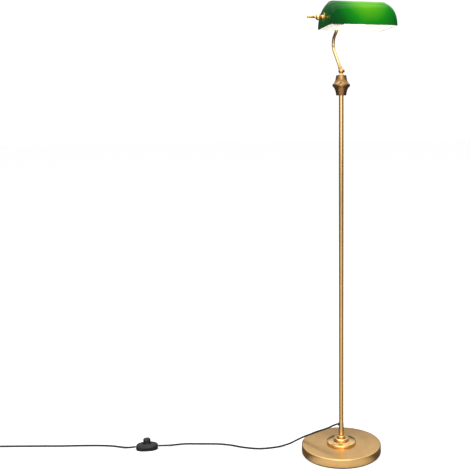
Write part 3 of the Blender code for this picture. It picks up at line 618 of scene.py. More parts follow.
def round_curve(name, radius, resolution, runs, caps=True):
    """A curve with a round bevel, through one or more runs of points."""
    curve = bpy.data.curves.new(name, "CURVE")
    curve.dimensions = "3D"
    curve.bevel_depth = radius
    curve.bevel_resolution = resolution
    curve.use_fill_caps = caps
    for run in runs:
        spline = curve.splines.new("POLY")
        spline.points.add(len(run) - 1)
        for target, point in zip(spline.points, run):
            target.co = (*point, 1.0)
        spline.use_smooth = True
    piece = bpy.data.objects.new(name, curve)
    bpy.context.collection.objects.link(piece)
    return piece


def as_mesh(piece):
    """A curve made into the mesh of its surface."""
    pick(piece)
    bpy.ops.object.convert(target="MESH")
    return bpy.context.object


def run_lead(name, points):
    """The lead along its points, with closed ends. Returns the piece and its length."""
    piece = round_curve(name, CORD_RADIUS, 6, [points])
    length = sum((q - p).length for p, q in zip(points, points[1:]))
    print(name, "is", round(length, 3), "m long")
    return piece, length


# %% The two stretches of lead
first, *others = LEAD_TO_SWITCH
lamp_lead, lamp_lead_length = run_lead("lead_from_lamp", [Vector(first)] + smooth_route(others, 0.006))
fit(lamp_lead, "stand", "lead_sheath", SHEATH, "lead_to_switch")
plug_lead, plug_lead_length = run_lead("lead_from_switch", smooth_route(LEAD_TO_COIL, 0.006) + coil_points()
                                       + [Vector(point) for point in LEAD_TO_PLUG])
fit(plug_lead, "stand", "lead_sheath", SHEATH, "lead_to_coil", "lead_coil", "lead_to_plug")

# %% [markdown]
# The coil is held by a soft wire tie: a flat band round the bundle, whose two ends are twisted together on
# the outside.


# %% The tie round the coil
TIE_ANGLE = math.radians(60.0)
TIE_WIDTH = 0.0030
TIE_THICKNESS = 0.0005
bundle_low = LANES[0][1] - CORD_RADIUS
bundle_high = LANES[2][1] + CORD_RADIUS


def rounded_box(half_wide, half_high, corner, per_corner):
    """Points (across, up) of a rectangle with rounded corners."""
    points = []
    for side, top, start in ((1, 1, 0), (-1, 1, 90), (-1, -1, 180), (1, -1, 270)):
        for step in range(per_corner + 1):
            a = math.radians(start + 90 * step / per_corner)
            points.append((side * (half_wide - corner) + corner * math.cos(a),
                           top * (half_high - corner) + corner * math.sin(a)))
    return points


tie_outward = Vector((math.cos(TIE_ANGLE), math.sin(TIE_ANGLE), 0))
tie_along = Vector((-math.sin(TIE_ANGLE), math.cos(TIE_ANGLE), 0))
bundle_middle = Vector((coil_centre.x, coil_centre.y, (bundle_low + bundle_high) / 2))


def bundle_outline(grown, along):
    """A rounded square round the four strands, grown outwards, at a distance along the coil."""
    middle = bundle_middle + tie_outward * COIL_MIDDLE + tie_along * along
    outline = rounded_box(2 * CORD_RADIUS + grown, (bundle_high - bundle_low) / 2 + grown,
                          CORD_RADIUS * 0.9 + grown, 6)
    return [middle + tie_outward * across + Vector((0, 0, up)) for across, up in outline]


TIE_GAP = 0.0001                     # between the strands and the tie's inner side
tie_wall = [(TIE_GAP, -1), (TIE_THICKNESS, -1), (TIE_THICKNESS, 1), (TIE_GAP, 1)]
tie = grow("lead_tie", [bundle_outline(grown, side * TIE_WIDTH / 2) for grown, side in tie_wall], True)
fit(tie, "stand", "plastic", PLASTIC)


def twisted_end(phase, steps=36):
    """One end of the tie, which winds round the other and then parts from it."""
    start = bundle_middle + tie_outward * (COIL_MIDDLE + 2 * CORD_RADIUS + TIE_THICKNESS)
    points = []
    for i in range(steps + 1):
        share = i / steps
        wide = 0.0006 + 0.0012 * max(0.0, share - 0.75) * 4
        a = phase + math.tau * 2.5 * min(share, 0.75)
        points.append(start + tie_outward * 0.013 * share + tie_along * wide * math.cos(a)
                      + Vector((0, 0, wide * math.sin(a))))
    return points


tie_ends = as_mesh(round_curve("lead_tie_ends", 0.0006, 3, [twisted_end(0.0), twisted_end(math.pi)]))
fit(tie_ends, "stand", "plastic", PLASTIC)

# %% [markdown]
# ## The base
# The base is a spun brass shell over an iron disc, on a rubber pad. The shell is thin, so it is grown as a
# closed wall: up the outside, over the rounded edge, across the top, and back underneath. The pad is a
# plain disc with a groove, and it shows as a dark line under the brass.

# %% Base shell and pad
shell_low, shell_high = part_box("base_shell")
base_radius = shell_high.x
SHELL = 0.0012                       # thickness of the brass
EDGE = 0.0040                        # radius of the rounded upper edge
edge_centre = (base_radius - EDGE, shell_high.z - EDGE)
shell_outline = ([(0.0065, shell_high.z)] + arc(edge_centre, EDGE, 90, 0, 8)
                 + [(base_radius, shell_low.z + 0.0006), (base_radius - 0.0004, shell_low.z),
                    (base_radius - SHELL, shell_low.z)] + arc(edge_centre, EDGE - SHELL, 0, 90, 6)
                 + [(0.0065, shell_high.z - SHELL)])
base_shell = turn("base_shell_spun", shell_outline, 160, closed=True)
fit(base_shell, "stand", "brass", SPUN_BRASS, "base_shell")

pad_low, pad_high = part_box("base_pad")
pad_radius = pad_high.x
base_pad = turn("base_pad_moulded", [(pad_radius - 0.0010, pad_low.z), (pad_radius, pad_low.z + 0.0010),
                                     (pad_radius, 0.0017), (pad_radius - 0.0005, 0.0020),
                                     (pad_radius, 0.0023), (pad_radius, pad_high.z)], 128)
soften(base_pad, 0.0002)
fit(base_pad, "stand", "rubber", RUBBER, "base_pad")

# %% [markdown]
# Three turned discs and a long cone lead from the base to the pole. Each is solid, with a bore for the
# nipple, so each is a closed ring too. Their edges are softened by a bevel, which draws the bright lines
# round them.

# %% Collar discs
BORE = 0.0055


def collar_disc(node, outline):
    """A bored disc; its outline is (distance in from the rim, height over its underside)."""
    low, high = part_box(node)
    points = [(BORE, low.z)] + [(high.x - inward, low.z + up) for inward, up in outline]
    disc = turn(node + "_turned", points + [(BORE, high.z)], 128, closed=True)
    soften(disc, 0.0004, 3, 24.0)
    fit(disc, "stand", "brass", POLISHED_BRASS, node)


def bulged_rim(middle, half):
    """A rim that bulges out to the disc's full width at its middle height."""
    return [(0.0012 - 0.0012 * math.sin(math.radians(a)), middle - half * math.cos(math.radians(a)))
            for a in range(0, 181, 20)]


dome = [(0.0015 + 0.0220 * share, 0.0085 + 0.0037 * math.sin(share * math.pi / 2))
        for share in (0.0, 0.2, 0.4, 0.6, 0.8, 1.0)]
collar_disc("collar_plate", [(0.0006, 0.0), (0.0, 0.0012), (0.0, 0.0062), (0.0004, 0.0076)] + dome)
collar_disc("collar_ring", [(0.0008, 0.0)] + bulged_rim(0.0042, 0.0030) + [(0.0026, 0.0084)])
collar_disc("collar_bead", [(0.0006, 0.0)] + bulged_rim(0.0035, 0.0028) + [(0.0020, 0.0070)])

# %% [markdown]
# The foot swells a little at its lower end. The lead comes out of a hole in its side, through a rubber
# grommet, so the hole is cut with a cylinder along the lead's first direction.

# %% Foot of the pole and the grommet
foot_low, foot_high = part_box("pole_foot")
POLE_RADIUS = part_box("pole_lower")[1].x
POLE_BORE = POLE_RADIUS - 0.0013
EXIT_HEIGHT = 0.1000
EXIT_TURN = math.radians(161.5)
rise = foot_high.z - foot_low.z
swell = foot_high.x - POLE_RADIUS
foot_side = [(POLE_RADIUS + swell * (1 - share) ** 1.5, foot_low.z + 0.0030 + (rise - 0.0030) * share)
             for share in (i / 10 for i in range(11))]
pole_foot = turn("pole_foot_turned", [(BORE, foot_low.z), (foot_high.x - 0.0008, foot_low.z),
                                      (foot_high.x, foot_low.z + 0.0010)] + foot_side
                 + [(POLE_BORE, foot_high.z), (POLE_BORE, 0.0790), (BORE, 0.0790)], 96, closed=True)
outward = Vector((math.cos(EXIT_TURN), math.sin(EXIT_TURN), 0))
drill_out(pole_foot, 0.0048, 0.012, aim(outward, Vector((0, 0, EXIT_HEIGHT)) + outward * 0.0085))
fit(pole_foot, "stand", "brass", POLISHED_BRASS, "pole_foot", angle=30.0)
grommet = turn("cable_grommet_moulded",
               [(0.0033, 0.0050), (0.0045, 0.0050), (0.0045, 0.0088), (0.0058, 0.0088), (0.0060, 0.0092),
                (0.0060, 0.0099), (0.0055, 0.0106), (0.0048, 0.0111), (0.0040, 0.0112), (0.0033, 0.0108)],
               48, closed=True)
put(grommet, aim(outward, (0, 0, EXIT_HEIGHT)))
fit(grommet, "stand", "rubber", RUBBER, "cable_grommet")

# %% [markdown]
# ## The pole
# The pole is three drawn tubes screwed together. Where two of them meet there is a fine groove, so each
# tube's ends are a little rounded.


# %% Three tubes
def pole_tube(node):
    """One length of the pole, with its ends a little rounded."""
    low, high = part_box(node)
    round_off = 0.0005
    outline = [(POLE_BORE, low.z), (POLE_RADIUS - round_off, low.z), (POLE_RADIUS, low.z + round_off)]
    outline += [(POLE_RADIUS, low.z + (high.z - low.z) * share) for share in (0.25, 0.5, 0.75)]
    outline += [(POLE_RADIUS, high.z - round_off), (POLE_RADIUS - round_off, high.z), (POLE_BORE, high.z)]
    tube = turn(node + "_drawn", outline, 64, closed=True)
    fit(tube, "stand", "brass", DRAWN_BRASS, node)


for node in ("pole_lower", "pole_middle", "pole_upper"):
    pole_tube(node)

# %% [markdown]
# ## The cap
# Two flared cones meet rim to rim. The lower one is fixed to the pole, and the upper one turns with the
# arm. Both have the same hollow flank, which is a curve through the small end, the waist and the wide rim.

# %% The two halves of the cap
lower_low, lower_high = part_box("cap_lower")
upper_low, upper_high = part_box("cap_upper")
CAP_END = 0.0164                     # radius of the small flat end
CAP_RIM = lower_high.x
cap_rise = lower_high.z - lower_low.z


def cap_half(node, flat, seam, body, hole):
    """One cone; flat and seam are the heights of its small end and of its rim."""
    way = 1 if seam > flat else -1
    flank = []
    for i in range(15):
        share = i / 14
        radius = CAP_END + 0.0046 * share + (CAP_RIM - CAP_END - 0.0046) * share ** 4.2
        flank.append((radius, flat + way * (0.0008 + (cap_rise - 0.0026) * share)))
    outline = ([(hole, flat), (CAP_END - 0.0007, flat), (CAP_END, flat + way * 0.0004)] + flank
               + [(CAP_RIM, seam - way * 0.0006), (CAP_RIM - 0.0006, seam), (0.0240, seam),
                  (0.0190, seam - way * 0.0078), (0.0140, seam - way * 0.0230), (hole, seam - way * 0.0230)])
    half = turn(node + "_turned", outline, 96, closed=True)
    fit(half, body, "aged_brass", DARKER_BRASS_AND_SHADE, node, angle=30.0)


cap_half("cap_lower", lower_low.z, lower_high.z, "stand", POLE_RADIUS + 0.0003)
cap_half("cap_upper", upper_high.z, upper_low.z, "swivel", 0.0053)

# %% [markdown]
# ## The knuckles
# Each knuckle is a ball in two halves with a screw through both. A half is a sphere cut at its middle,
# joined to a turned neck, after the neck is hollowed where the other half turns.

# %% Half balls, necks and screws
SPLIT = 0.00015                      # half the gap between the two halves
SCREW_HOLE = 0.0025                  # radius of the hole through both halves


def half_sphere(radius, centre, side):
    """Half a ball, on one side of a plane across X."""
    bpy.ops.object.select_all(action="DESELECT")
    bpy.ops.mesh.primitive_uv_sphere_add(segments=48, ring_count=24, radius=radius)
    ball = bpy.context.object
    put(ball, aim((1, 0, 0), centre))
    bpy.ops.object.mode_set(mode="EDIT")
    bpy.ops.mesh.select_all(action="SELECT")
    bpy.ops.mesh.bisect(plane_co=centre + Vector((side * SPLIT, 0, 0)), plane_no=(side, 0, 0), use_fill=True,
                        clear_inner=True)
    bpy.ops.mesh.select_all(action="SELECT")
    bpy.ops.mesh.normals_make_consistent(inside=False)
    bpy.ops.object.mode_set(mode="OBJECT")
    return ball


def knuckle_half(node, side, radius, neck, place, centre, body):
    """A neck and half a ball; side is -1 for the left half and 1 for the right."""
    piece = turn(node + "_turned", neck, 64)
    put(piece, place)
    carve(piece, half_sphere(radius + 0.0006, centre + Vector((side * 2 * SPLIT, 0, 0)), -side))
    carve(piece, half_sphere(radius, centre, side), "UNION")
    bpy.ops.mesh.primitive_cylinder_add(vertices=48, radius=SCREW_HOLE, depth=0.030, location=centre,
                                        rotation=(0, math.pi / 2, 0))
    carve(piece, bpy.context.object)
    fit(piece, body, "brass", POLISHED_BRASS, node, angle=30.0)


def pivot_screw(node, radius, centre, body):
    """A domed screw head with a slot, on a shank through both halves."""
    seat = math.sqrt(radius ** 2 - SCREW_HOLE ** 2) + 0.0003
    screw = turn(node + "_turned", [(0.0022, -seat + 0.0003), (0.0022, seat), (0.0042, seat),
                                    (0.0042, seat + 0.0008)]
                 + arc((0.0022, seat + 0.0006), 0.0018, 10, 80, 5) + [(0.0004, seat + 0.0024)], 40)
    bpy.ops.mesh.primitive_cube_add(size=1.0)
    groove = bpy.context.object
    groove.scale = (0.0010, 0.0100, 0.0012)
    groove.location = (0, 0, seat + 0.0024)
    carve(screw, groove)
    put(screw, aim((1, 0, 0), centre))
    fit(screw, body, "brass", POLISHED_BRASS, node)


# %% The knuckle on the cap
knuckle = Vector(joints["arm_tilt"]["pos_m"])
base_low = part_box("knuckle_base")[0]
KNUCKLE_RADIUS = -base_low.x
bell = [(0.0010, 1.2825), (0.0053, 1.2825), (0.0053, base_low.z), (0.0088, base_low.z),
        (0.0090, base_low.z + 0.0004),
        (0.0086, 1.2804), (0.0076, 1.2815), (0.0068, 1.2830), (0.0058, 1.2848), (0.0052, knuckle.z - 0.0062)]
knuckle_half("knuckle_base", -1, KNUCKLE_RADIUS, bell, Matrix.Identity(4), knuckle, "swivel")
pivot_screw("knuckle_screw", KNUCKLE_RADIUS, knuckle, "swivel")

# %% [markdown]
# ## The arm
# The arm is a bent tube: out and up from its knuckle, round one wide bend, and back up to the shade's
# knuckle. A curve with a round bevel makes it in one go; the path is three straight runs with an arc at
# each corner.

# %% The arm and its two ends
ARM_BEND = Vector((0.0, 0.100, 1.388))
ARM_TURN = Vector((0.0, 0.047, 1.4215))
ARM_RADIUS = 0.0050
head = Vector(joints["head_tilt"]["pos_m"])
HEAD_RADIUS = 0.0080
first_run = (ARM_BEND - knuckle).normalized()


def rounded_path(corners, radii, steps=14):
    """A path through corners, each inner one rounded by an arc of its own radius."""
    path = [corners[0]]
    for before, corner, after, radius in zip(corners, corners[1:], corners[2:], radii):
        into = (corner - before).normalized()
        out = (after - corner).normalized()
        half = into.angle(out) / 2
        start = corner - into * radius * math.tan(half)
        axis = into.cross(out).normalized()
        centre = start + axis.cross(into) * radius
        path += [centre + Matrix.Rotation(2 * half * i / steps, 3, axis) @ (start - centre)
                 for i in range(steps + 1)]
    return path + [corners[-1]]


arm_points = rounded_path([knuckle + first_run * 0.0130, ARM_BEND, ARM_TURN, head - Vector((0, 0, 0.0110))],
                          [0.030, 0.013])
arm_tube = as_mesh(round_curve("arm_tube_bent", ARM_RADIUS, 10, [arm_points], caps=False))
wall = arm_tube.modifiers.new("wall", "SOLIDIFY")
wall.thickness = 0.0012
wall.offset = -1.0
bpy.ops.object.modifier_apply(modifier=wall.name)
fit(arm_tube, "arm", "brass", DRAWN_BRASS, "arm_tube", angle=50.0)

arm_neck = [(0.0010, 0.0062), (0.0056, 0.0062), (0.0058, 0.0085), (0.0060, 0.0100), (0.0064, 0.0106),
            (0.0064, 0.0176), (0.0060, 0.0180), (0.0053, 0.0180), (0.0053, 0.0127), (0.0010, 0.0127)]
knuckle_half("knuckle_arm", 1, KNUCKLE_RADIUS, arm_neck, aim(first_run, knuckle), knuckle, "arm")
head_neck = [(0.0010, 0.0054), (0.0050, 0.0054), (0.0056, 0.0085), (0.0062, 0.0090), (0.0062, 0.0146),
             (0.0058, 0.0150), (0.0053, 0.0150), (0.0053, 0.0107), (0.0010, 0.0107)]
knuckle_half("head_knuckle_base", -1, HEAD_RADIUS, head_neck, aim((0, 0, -1), head), head, "arm")
pivot_screw("head_knuckle_screw", HEAD_RADIUS, head, "arm")

# %% [markdown]
# ## The shade
# The shade is half a barrel with curved-in ends. Its outline from above is a rectangle whose corners grow
# rounder towards the ridge, so each ring is worked out from its height: the width follows an oval, and the
# ends lean in late. The outer skin goes up from the rim, and the white inner skin comes back down, a glass
# thickness inside.

# %% Shade outlines
head_place = Matrix.Translation(head) @ Matrix.Rotation(math.radians(-2.0), 4, "X")
SHADE_CENTRE = Vector((0.0375, -0.092, -0.0242))
HALF_LENGTH = 0.109
HALF_WIDTH = 0.070
SHADE_HEIGHT = 0.079
END_CURVE = 0.025
GLASS = 0.003
ARCH_POWER = 2.2
END_POWER = 2.4
LAMP_AXIS = Vector((-0.046, SHADE_CENTRE.y, 0.0048))


def shade_ring(half_length, half_width, corner, height, corner_steps=12, side_steps=24, end_steps=16):
    """A rounded rectangle with a fixed number of points on its corners and sides."""
    corner = min(corner, half_width * 0.95)
    points = []
    centres = [(1, 1, 0), (-1, 1, 90), (-1, -1, 180), (1, -1, 270)]
    for index, (sx, sy, start) in enumerate(centres):
        middle = Vector((sx * (half_length - corner), sy * (half_width - corner), height))
        for step in range(corner_steps + 1):
            a = math.radians(start + 90 * step / corner_steps)
            points.append(middle + Vector((corner * math.cos(a), corner * math.sin(a), 0)))
        nx, ny, after = centres[(index + 1) % 4]
        a = math.radians(after)
        following = Vector((nx * (half_length - corner) + corner * math.cos(a),
                            ny * (half_width - corner) + corner * math.sin(a), height))
        splits = side_steps if index % 2 == 0 else end_steps
        last = points[-1]
        points += [last.lerp(following, k / splits) for k in range(1, splits)]
    return points


def shade_skin(inset, rows=30):
    """Rings from the rim to the ridge."""
    rings = []
    for row in range(rows + 1):
        lean = math.radians(89.2) * (row / rows) ** 0.92
        share = math.sin(lean) ** (2 / ARCH_POWER)
        end = (1 - share ** END_POWER) ** (1 / END_POWER)
        length = HALF_LENGTH - END_CURVE + (END_CURVE - inset) * end
        rings.append(shade_ring(length, (HALF_WIDTH - inset) * math.cos(lean) ** (2 / ARCH_POWER),
                                0.006 + 0.030 * share ** 2, (SHADE_HEIGHT - inset) * share))
    return rings


# %% Grow the shade, drill it and give it two kinds of glass
shade = grow("shade_blown", shade_skin(0.0)[::-1] + shade_skin(GLASS))
put(shade, head_place @ Matrix.Translation(SHADE_CENTRE))
end_hole = Vector((-0.0700, LAMP_AXIS.y, LAMP_AXIS.z))
for direction, start in (((0, -1, 0), Vector((0, -0.0250, 0))), ((-1, 0, 0), end_hole)):
    drill_out(shade, 0.0060, 0.020, head_place @ aim(direction, start))
fit(shade, "head", "green_glass", GREEN_GLASS, "shade_glass", angle=40.0)
shade.data.materials.append(WHITE_GLASS)
inward_place = (head_place @ Matrix.Translation(SHADE_CENTRE)).inverted()


def on_inner_skin(centre):
    """Whether a face's centre lies nearer to the inner skin than to the outer one."""
    x, y, z = inward_place @ centre
    share = min(max(z / (SHADE_HEIGHT - GLASS / 2), 0.0), 0.9999)
    arch = (1 - share ** ARCH_POWER) ** (1 / ARCH_POWER)
    end = (1 - share ** END_POWER) ** (1 / END_POWER)
    length = HALF_LENGTH - END_CURVE + (END_CURVE - GLASS / 2) * end
    return z > 0.0004 and abs(y) < (HALF_WIDTH - GLASS / 2) * arch and abs(x) < length


inner_faces = 0
lamp_middle = head_place @ (SHADE_CENTRE + Vector((0, 0, 0.02)))
for face in shade.data.polygons:
    if face.normal.dot(face.center - lamp_middle) < 0 and on_inner_skin(face.center):
        face.material_index = 1
        inner_faces += 1
print("the shade's white side has", inner_faces, "of", len(shade.data.polygons), "faces")

# %% [markdown]
# ## The lamp inside the shade
# The lampholder, the bulb, the washer, the knob and its rod are all turned on one axis along the shade.
# They are modelled on Z and laid along that axis. The bulb's cap has a rounded thread, drawn here as a row
# of waves.

# %% Lampholder, bulb and cap
right = head_place @ aim((1, 0, 0), LAMP_AXIS)
left = head_place @ aim((-1, 0, 0), LAMP_AXIS)


def lamp_part(node, name, outline, place, finish, slot, steps=80, closed=False, edge=0.0002):
    """A turned piece of the head, laid at its place."""
    piece = turn(name, outline, steps, closed)
    if edge:
        soften(piece, edge)
    put(piece, place)
    fit(piece, "head", slot, finish, node)


lamp_part("lampholder_shell", "lampholder_shell_turned",
          [(0.0053, 0.0), (0.0125, 0.0), (0.0165, 0.0012), (0.0190, 0.0035), (0.0205, 0.0062),
           (0.0213, 0.0090), (0.0213, 0.0200), (0.0208, 0.0204), (0.0208, 0.0220), (0.0213, 0.0224),
           (0.0213, 0.0368),
           (0.0210, 0.0380), (0.0202, 0.0380), (0.0202, 0.0094), (0.0182, 0.0050), (0.0122, 0.0014),
           (0.0053, 0.0014)], right, POLISHED_BRASS, "brass", closed=True)
lamp_part("lampholder_core", "lampholder_core_glazed",
          [(0.0165, 0.0060), (0.0197, 0.0110), (0.0197, 0.0350), (0.0142, 0.0350), (0.0142, 0.0120),
           (0.0010, 0.0120)], right, PORCELAIN, "porcelain")
thread = [(0.0130 - 0.0004 * (1 - math.cos(math.tau * i / 6)), 0.0172 + 0.0200 * i / 36) for i in range(37)]
lamp_part("bulb_cap", "bulb_cap_threaded",
          [(0.0010, 0.0123), (0.0040, 0.0123), (0.0062, 0.0140), (0.0120, 0.0160)] + thread
          + [(0.0130, 0.0390), (0.0118, 0.0390), (0.0118, 0.0180), (0.0010, 0.0180)], right, ZINC, "steel",
          edge=0)
GLOBE_AT = 0.0960
skin = 0.0010
bulb_side = [(0.0115, 0.0200), (0.0115, 0.0420), (0.0118, 0.0480), (0.0128, 0.0560), (0.0146, 0.0640),
             (0.0170, 0.0720), (0.0188, 0.0790)]
bulb_outside = arc((0, GLOBE_AT), GLOBE_RADIUS, 89, -36, 22) + bulb_side[::-1]
bulb_inside = [(r - skin, h) for r, h in bulb_side] + arc((0, GLOBE_AT), GLOBE_RADIUS - skin, -36, 89, 22)
lamp_part("bulb_glass", "bulb_glass_blown", bulb_outside + bulb_inside, right, BULB_GLASS, "bulb_glass",
          edge=0)

# %% Washer, knob and rod outside the shade's left end
lamp_part("end_washer", "end_washer_turned",
          [(0.0053, 0.0260), (0.0136, 0.0260), (0.0145, 0.0263), (0.0146, 0.0268), (0.0140, 0.0274),
           (0.0120, 0.0277), (0.0053, 0.0277)], left, POLISHED_BRASS, "brass", closed=True)
KNOB_AT = 0.0440
KNOB_RADIUS = 0.0098
lamp_part("end_knob", "end_knob_turned",
          [(0.0010, 0.0388), (0.0053, 0.0388), (0.0053, 0.0280), (0.0080, 0.0280), (0.0081, 0.0285),
           (0.0076, 0.0294), (0.0064, 0.0301), (0.0058, 0.0310), (0.0056, 0.0340)]
          + arc((0, KNOB_AT), KNOB_RADIUS, -52, 66, 26) + [(0.0038, 0.0480), (0.0010, 0.0480)], left,
          POLISHED_BRASS, "brass", edge=0)
lamp_part("knob_handle", "knob_handle_turned",
          [(0.0030, 0.0483), (0.0035, 0.0488), (0.0035, 0.0560), (0.0033, 0.0563), (0.0033, 0.0568),
           (0.0035, 0.0571), (0.0035, 0.0785), (0.0033, 0.0792), (0.0027, 0.0797), (0.0016, 0.0800)], left,
          POLISHED_BRASS, "brass", edge=0)

# %% [markdown]
# The nuts are hexagons with their corners turned off, as real nuts are: a short cylinder with six sides,
# cut with a cone on each face. Here a hexagonal ring is grown, and its outer corners are drawn in at both
# ends.


# %% Nuts
def hexagon_ring(flat_radius, height, most=1.0, per_side=8):
    """Points on a hexagon; none lies further out than most times its flat radius."""
    ring = []
    for i in range(6 * per_side):
        a = math.tau * i / (6 * per_side)
        fold = (a + math.pi / 6) % (math.pi / 3) - math.pi / 6
        radius = min(flat_radius / math.cos(fold), flat_radius * most)
        ring.append(Vector((radius * math.cos(a), radius * math.sin(a), height)))
    return ring


def nut(node, flat_radius, bore, thickness, place, body):
    """A hexagon nut with its corners turned off."""
    steps = 48
    full = 1.155                     # corner over flat, on a hexagon
    turned_off = thickness * 0.12
    piece = grow(node + "_cut", [circle_ring(bore, 0.0, steps), hexagon_ring(flat_radius, 0.0),
                                 hexagon_ring(flat_radius, turned_off, full),
                                 hexagon_ring(flat_radius, thickness - turned_off, full),
                                 hexagon_ring(flat_radius, thickness),
                                 circle_ring(bore, thickness, steps)], True)
    put(piece, place)
    fit(piece, body, "steel", ZINC, node, angle=20.0)


forward = (0, -1, 0)
nut("back_nut", 0.0075, 0.0051, 0.0040, head_place @ aim(forward, (0, -0.0155, 0)), "head")
nut("inner_nut", 0.0075, 0.0051, 0.0036, head_place @ aim(forward, (0, -0.0358, 0)), "head")
nut("end_nut", 0.0080, 0.0053, 0.0040, left @ Matrix.Translation((0, 0, 0.0158)), "head")
nut("base_nut", 0.0085, 0.0053, 0.0052, Matrix.Translation((0, 0, 0.0055)), "stand")
nut("swivel_nut", 0.0080, 0.0053, 0.0045, Matrix.Translation((0, 0, 1.2280)), "swivel")
nut("cap_nut", 0.0080, 0.0053, 0.0045, Matrix.Translation((0, 0, 1.2652)), "swivel")

# %% [markdown]
# Behind the shade the knuckle's other half has a long stub, which passes through the back of the glass
# between a rubber washer and a nut, and holds an L-shaped strap inside. The strap carries the lampholder.

# %% Stub, washer and strap
stub = [(0.0010, 0.0054), (0.0050, 0.0054), (0.0056, 0.0085), (0.0062, 0.0094), (0.0064, 0.0098),
        (0.0064, 0.0142), (0.0060, 0.0147), (0.0048, 0.0150), (0.0048, 0.0402), (0.0045, 0.0405),
        (0.0010, 0.0405)]
knuckle_half("head_knuckle_stub", 1, HEAD_RADIUS, stub, head_place @ aim(forward), head, "head")
lamp_part("back_washer", "back_washer_moulded",
          [(0.0051, 0.0198), (0.0091, 0.0198), (0.0095, 0.0202), (0.0095, 0.0214), (0.0091, 0.0218),
           (0.0051, 0.0218)], head_place @ aim(forward), RUBBER, "rubber", 48, True, 0)
strap_plan = [(0.0090, -0.0335), (0.0090, -0.0355), (-0.0480, -0.0355), (-0.0480, -0.1000),
              (-0.0500, -0.1000), (-0.0500, -0.0335)]
strap = grow("holder_strap_cut", [[Vector((x, y, z)) for x, y in strap_plan] for z in (-0.0062, 0.0125)])
strap_end = Vector((-0.0490, LAMP_AXIS.y, LAMP_AXIS.z))
for direction, start in ((forward, Vector((0, -0.0345, 0))), ((-1, 0, 0), strap_end)):
    drill_out(strap, 0.0052, 0.010, aim(direction, start))
soften(strap, 0.0003, 2, 40.0)
put(strap, head_place)
fit(strap, "head", "steel", ZINC, "holder_strap", angle=30.0)

# %% [markdown]
# ## The foot switch
# The switch is a flat oval box with a round turret, and a large button stands in the turret. Its sections
# are superellipses that turn into circles higher up, all with the same number of points, so one grown skin
# does it.

# %% Switch box, cover and button
switch_place = Matrix.Translation((-0.6435, 0.2200, 0.0)) @ Matrix.Rotation(math.radians(-10.0), 4, "Z")
SWITCH_STEPS = 96


def oval_ring(length, width, height, power=2.4):
    """Points on a level oval with fuller corners than an ellipse."""
    ring = []
    for i in range(SWITCH_STEPS):
        a = math.tau * i / SWITCH_STEPS
        x = math.copysign(abs(math.cos(a)) ** (2 / power), math.cos(a))
        y = math.copysign(abs(math.sin(a)) ** (2 / power), math.sin(a))
        ring.append(Vector((length * x, width * y, height)))
    return ring


switch_base = grow("switch_base_moulded", [oval_ring(*size) for size in (
    (0.0365, 0.0210, 0.0), (0.0372, 0.0217, 0.0004), (0.0375, 0.0220, 0.0012), (0.0375, 0.0220, 0.0060))])
for side in (-1, 1):
    for radius, middle, depth in ((0.0035, 0.0010, 0.0040), (0.0017, 0.0050, 0.0080)):
        bpy.ops.mesh.primitive_cylinder_add(vertices=32, radius=radius, depth=depth,
                                            location=(side * 0.0290, 0, middle))
        carve(switch_base, bpy.context.object)
put(switch_base, switch_place)
fit(switch_base, "stand", "plastic", PLASTIC, "switch_base")

# Up the outside, over the turret and down into it, and back along the inside.
shoulder = [(0.0383, 0.0228, 0.0063), (0.0385, 0.0230, 0.0068), (0.0385, 0.0230, 0.0108),
            (0.0382, 0.0228, 0.0126), (0.0375, 0.0222, 0.0144), (0.0363, 0.0212, 0.0162),
            (0.0345, 0.0200, 0.0178), (0.0322, 0.0189, 0.0191), (0.0290, 0.0178, 0.0201)]
turret = [(0.0162, 0.0208), (0.0153, 0.0212), (0.0148, 0.0219), (0.0146, 0.0228), (0.0141, 0.0235),
          (0.0133, 0.0235), (0.0130, 0.0231), (0.0130, 0.0190)]
inside = [(0.0285, 0.0160, 0.0180), (0.0345, 0.0190, 0.0140), (0.0365, 0.0210, 0.0100),
          (0.0365, 0.0210, 0.0063)]
switch_cover = grow("switch_cover_moulded", [oval_ring(*size) for size in shoulder]
                    + [circle_ring(radius, height, SWITCH_STEPS) for radius, height in turret]
                    + [oval_ring(*size) for size in inside], True)
dots = []
for side in (-1, 1):
    for along, across, height in ((0.0318, -0.0060, 0.0189), (0.0318, 0.0, 0.0192), (0.0318, 0.0060, 0.0189),
                                  (0.0287, -0.0090, 0.0196), (0.0287, -0.0030, 0.0201),
                                  (0.0287, 0.0030, 0.0201), (0.0287, 0.0090, 0.0196)):
        bpy.ops.mesh.primitive_uv_sphere_add(segments=16, ring_count=8, radius=0.0008,
                                             location=(side * along, across, height))
        dots.append(bpy.context.object)
pick(switch_cover)
for dot in dots:
    dot.select_set(True)
bpy.ops.object.join()
put(switch_cover, switch_place)
fit(switch_cover, "stand", "plastic", PLASTIC, "switch_cover", angle=40.0)

switch_button = turn("switch_button_moulded",
                     [(0.0010, 0.0163), (0.0127, 0.0163), (0.0127, 0.0350), (0.0125, 0.0360),
                      (0.0121, 0.0370), (0.0114, 0.0378), (0.0106, 0.0383), (0.0098, 0.0385),
                      (0.0088, 0.0383),
                      (0.0078, 0.0379), (0.0040, 0.0376), (0.0005, 0.0375)], SWITCH_STEPS)
put(switch_button, switch_place)
fit(switch_button, "button", "plastic", PLASTIC, "switch_button", angle=50.0)

# %% [markdown]
# Under the button there is a coil spring, which shortens as the button goes down. Its mesh is one helix with
# a round bevel, and the piece gets a mesh of its own.

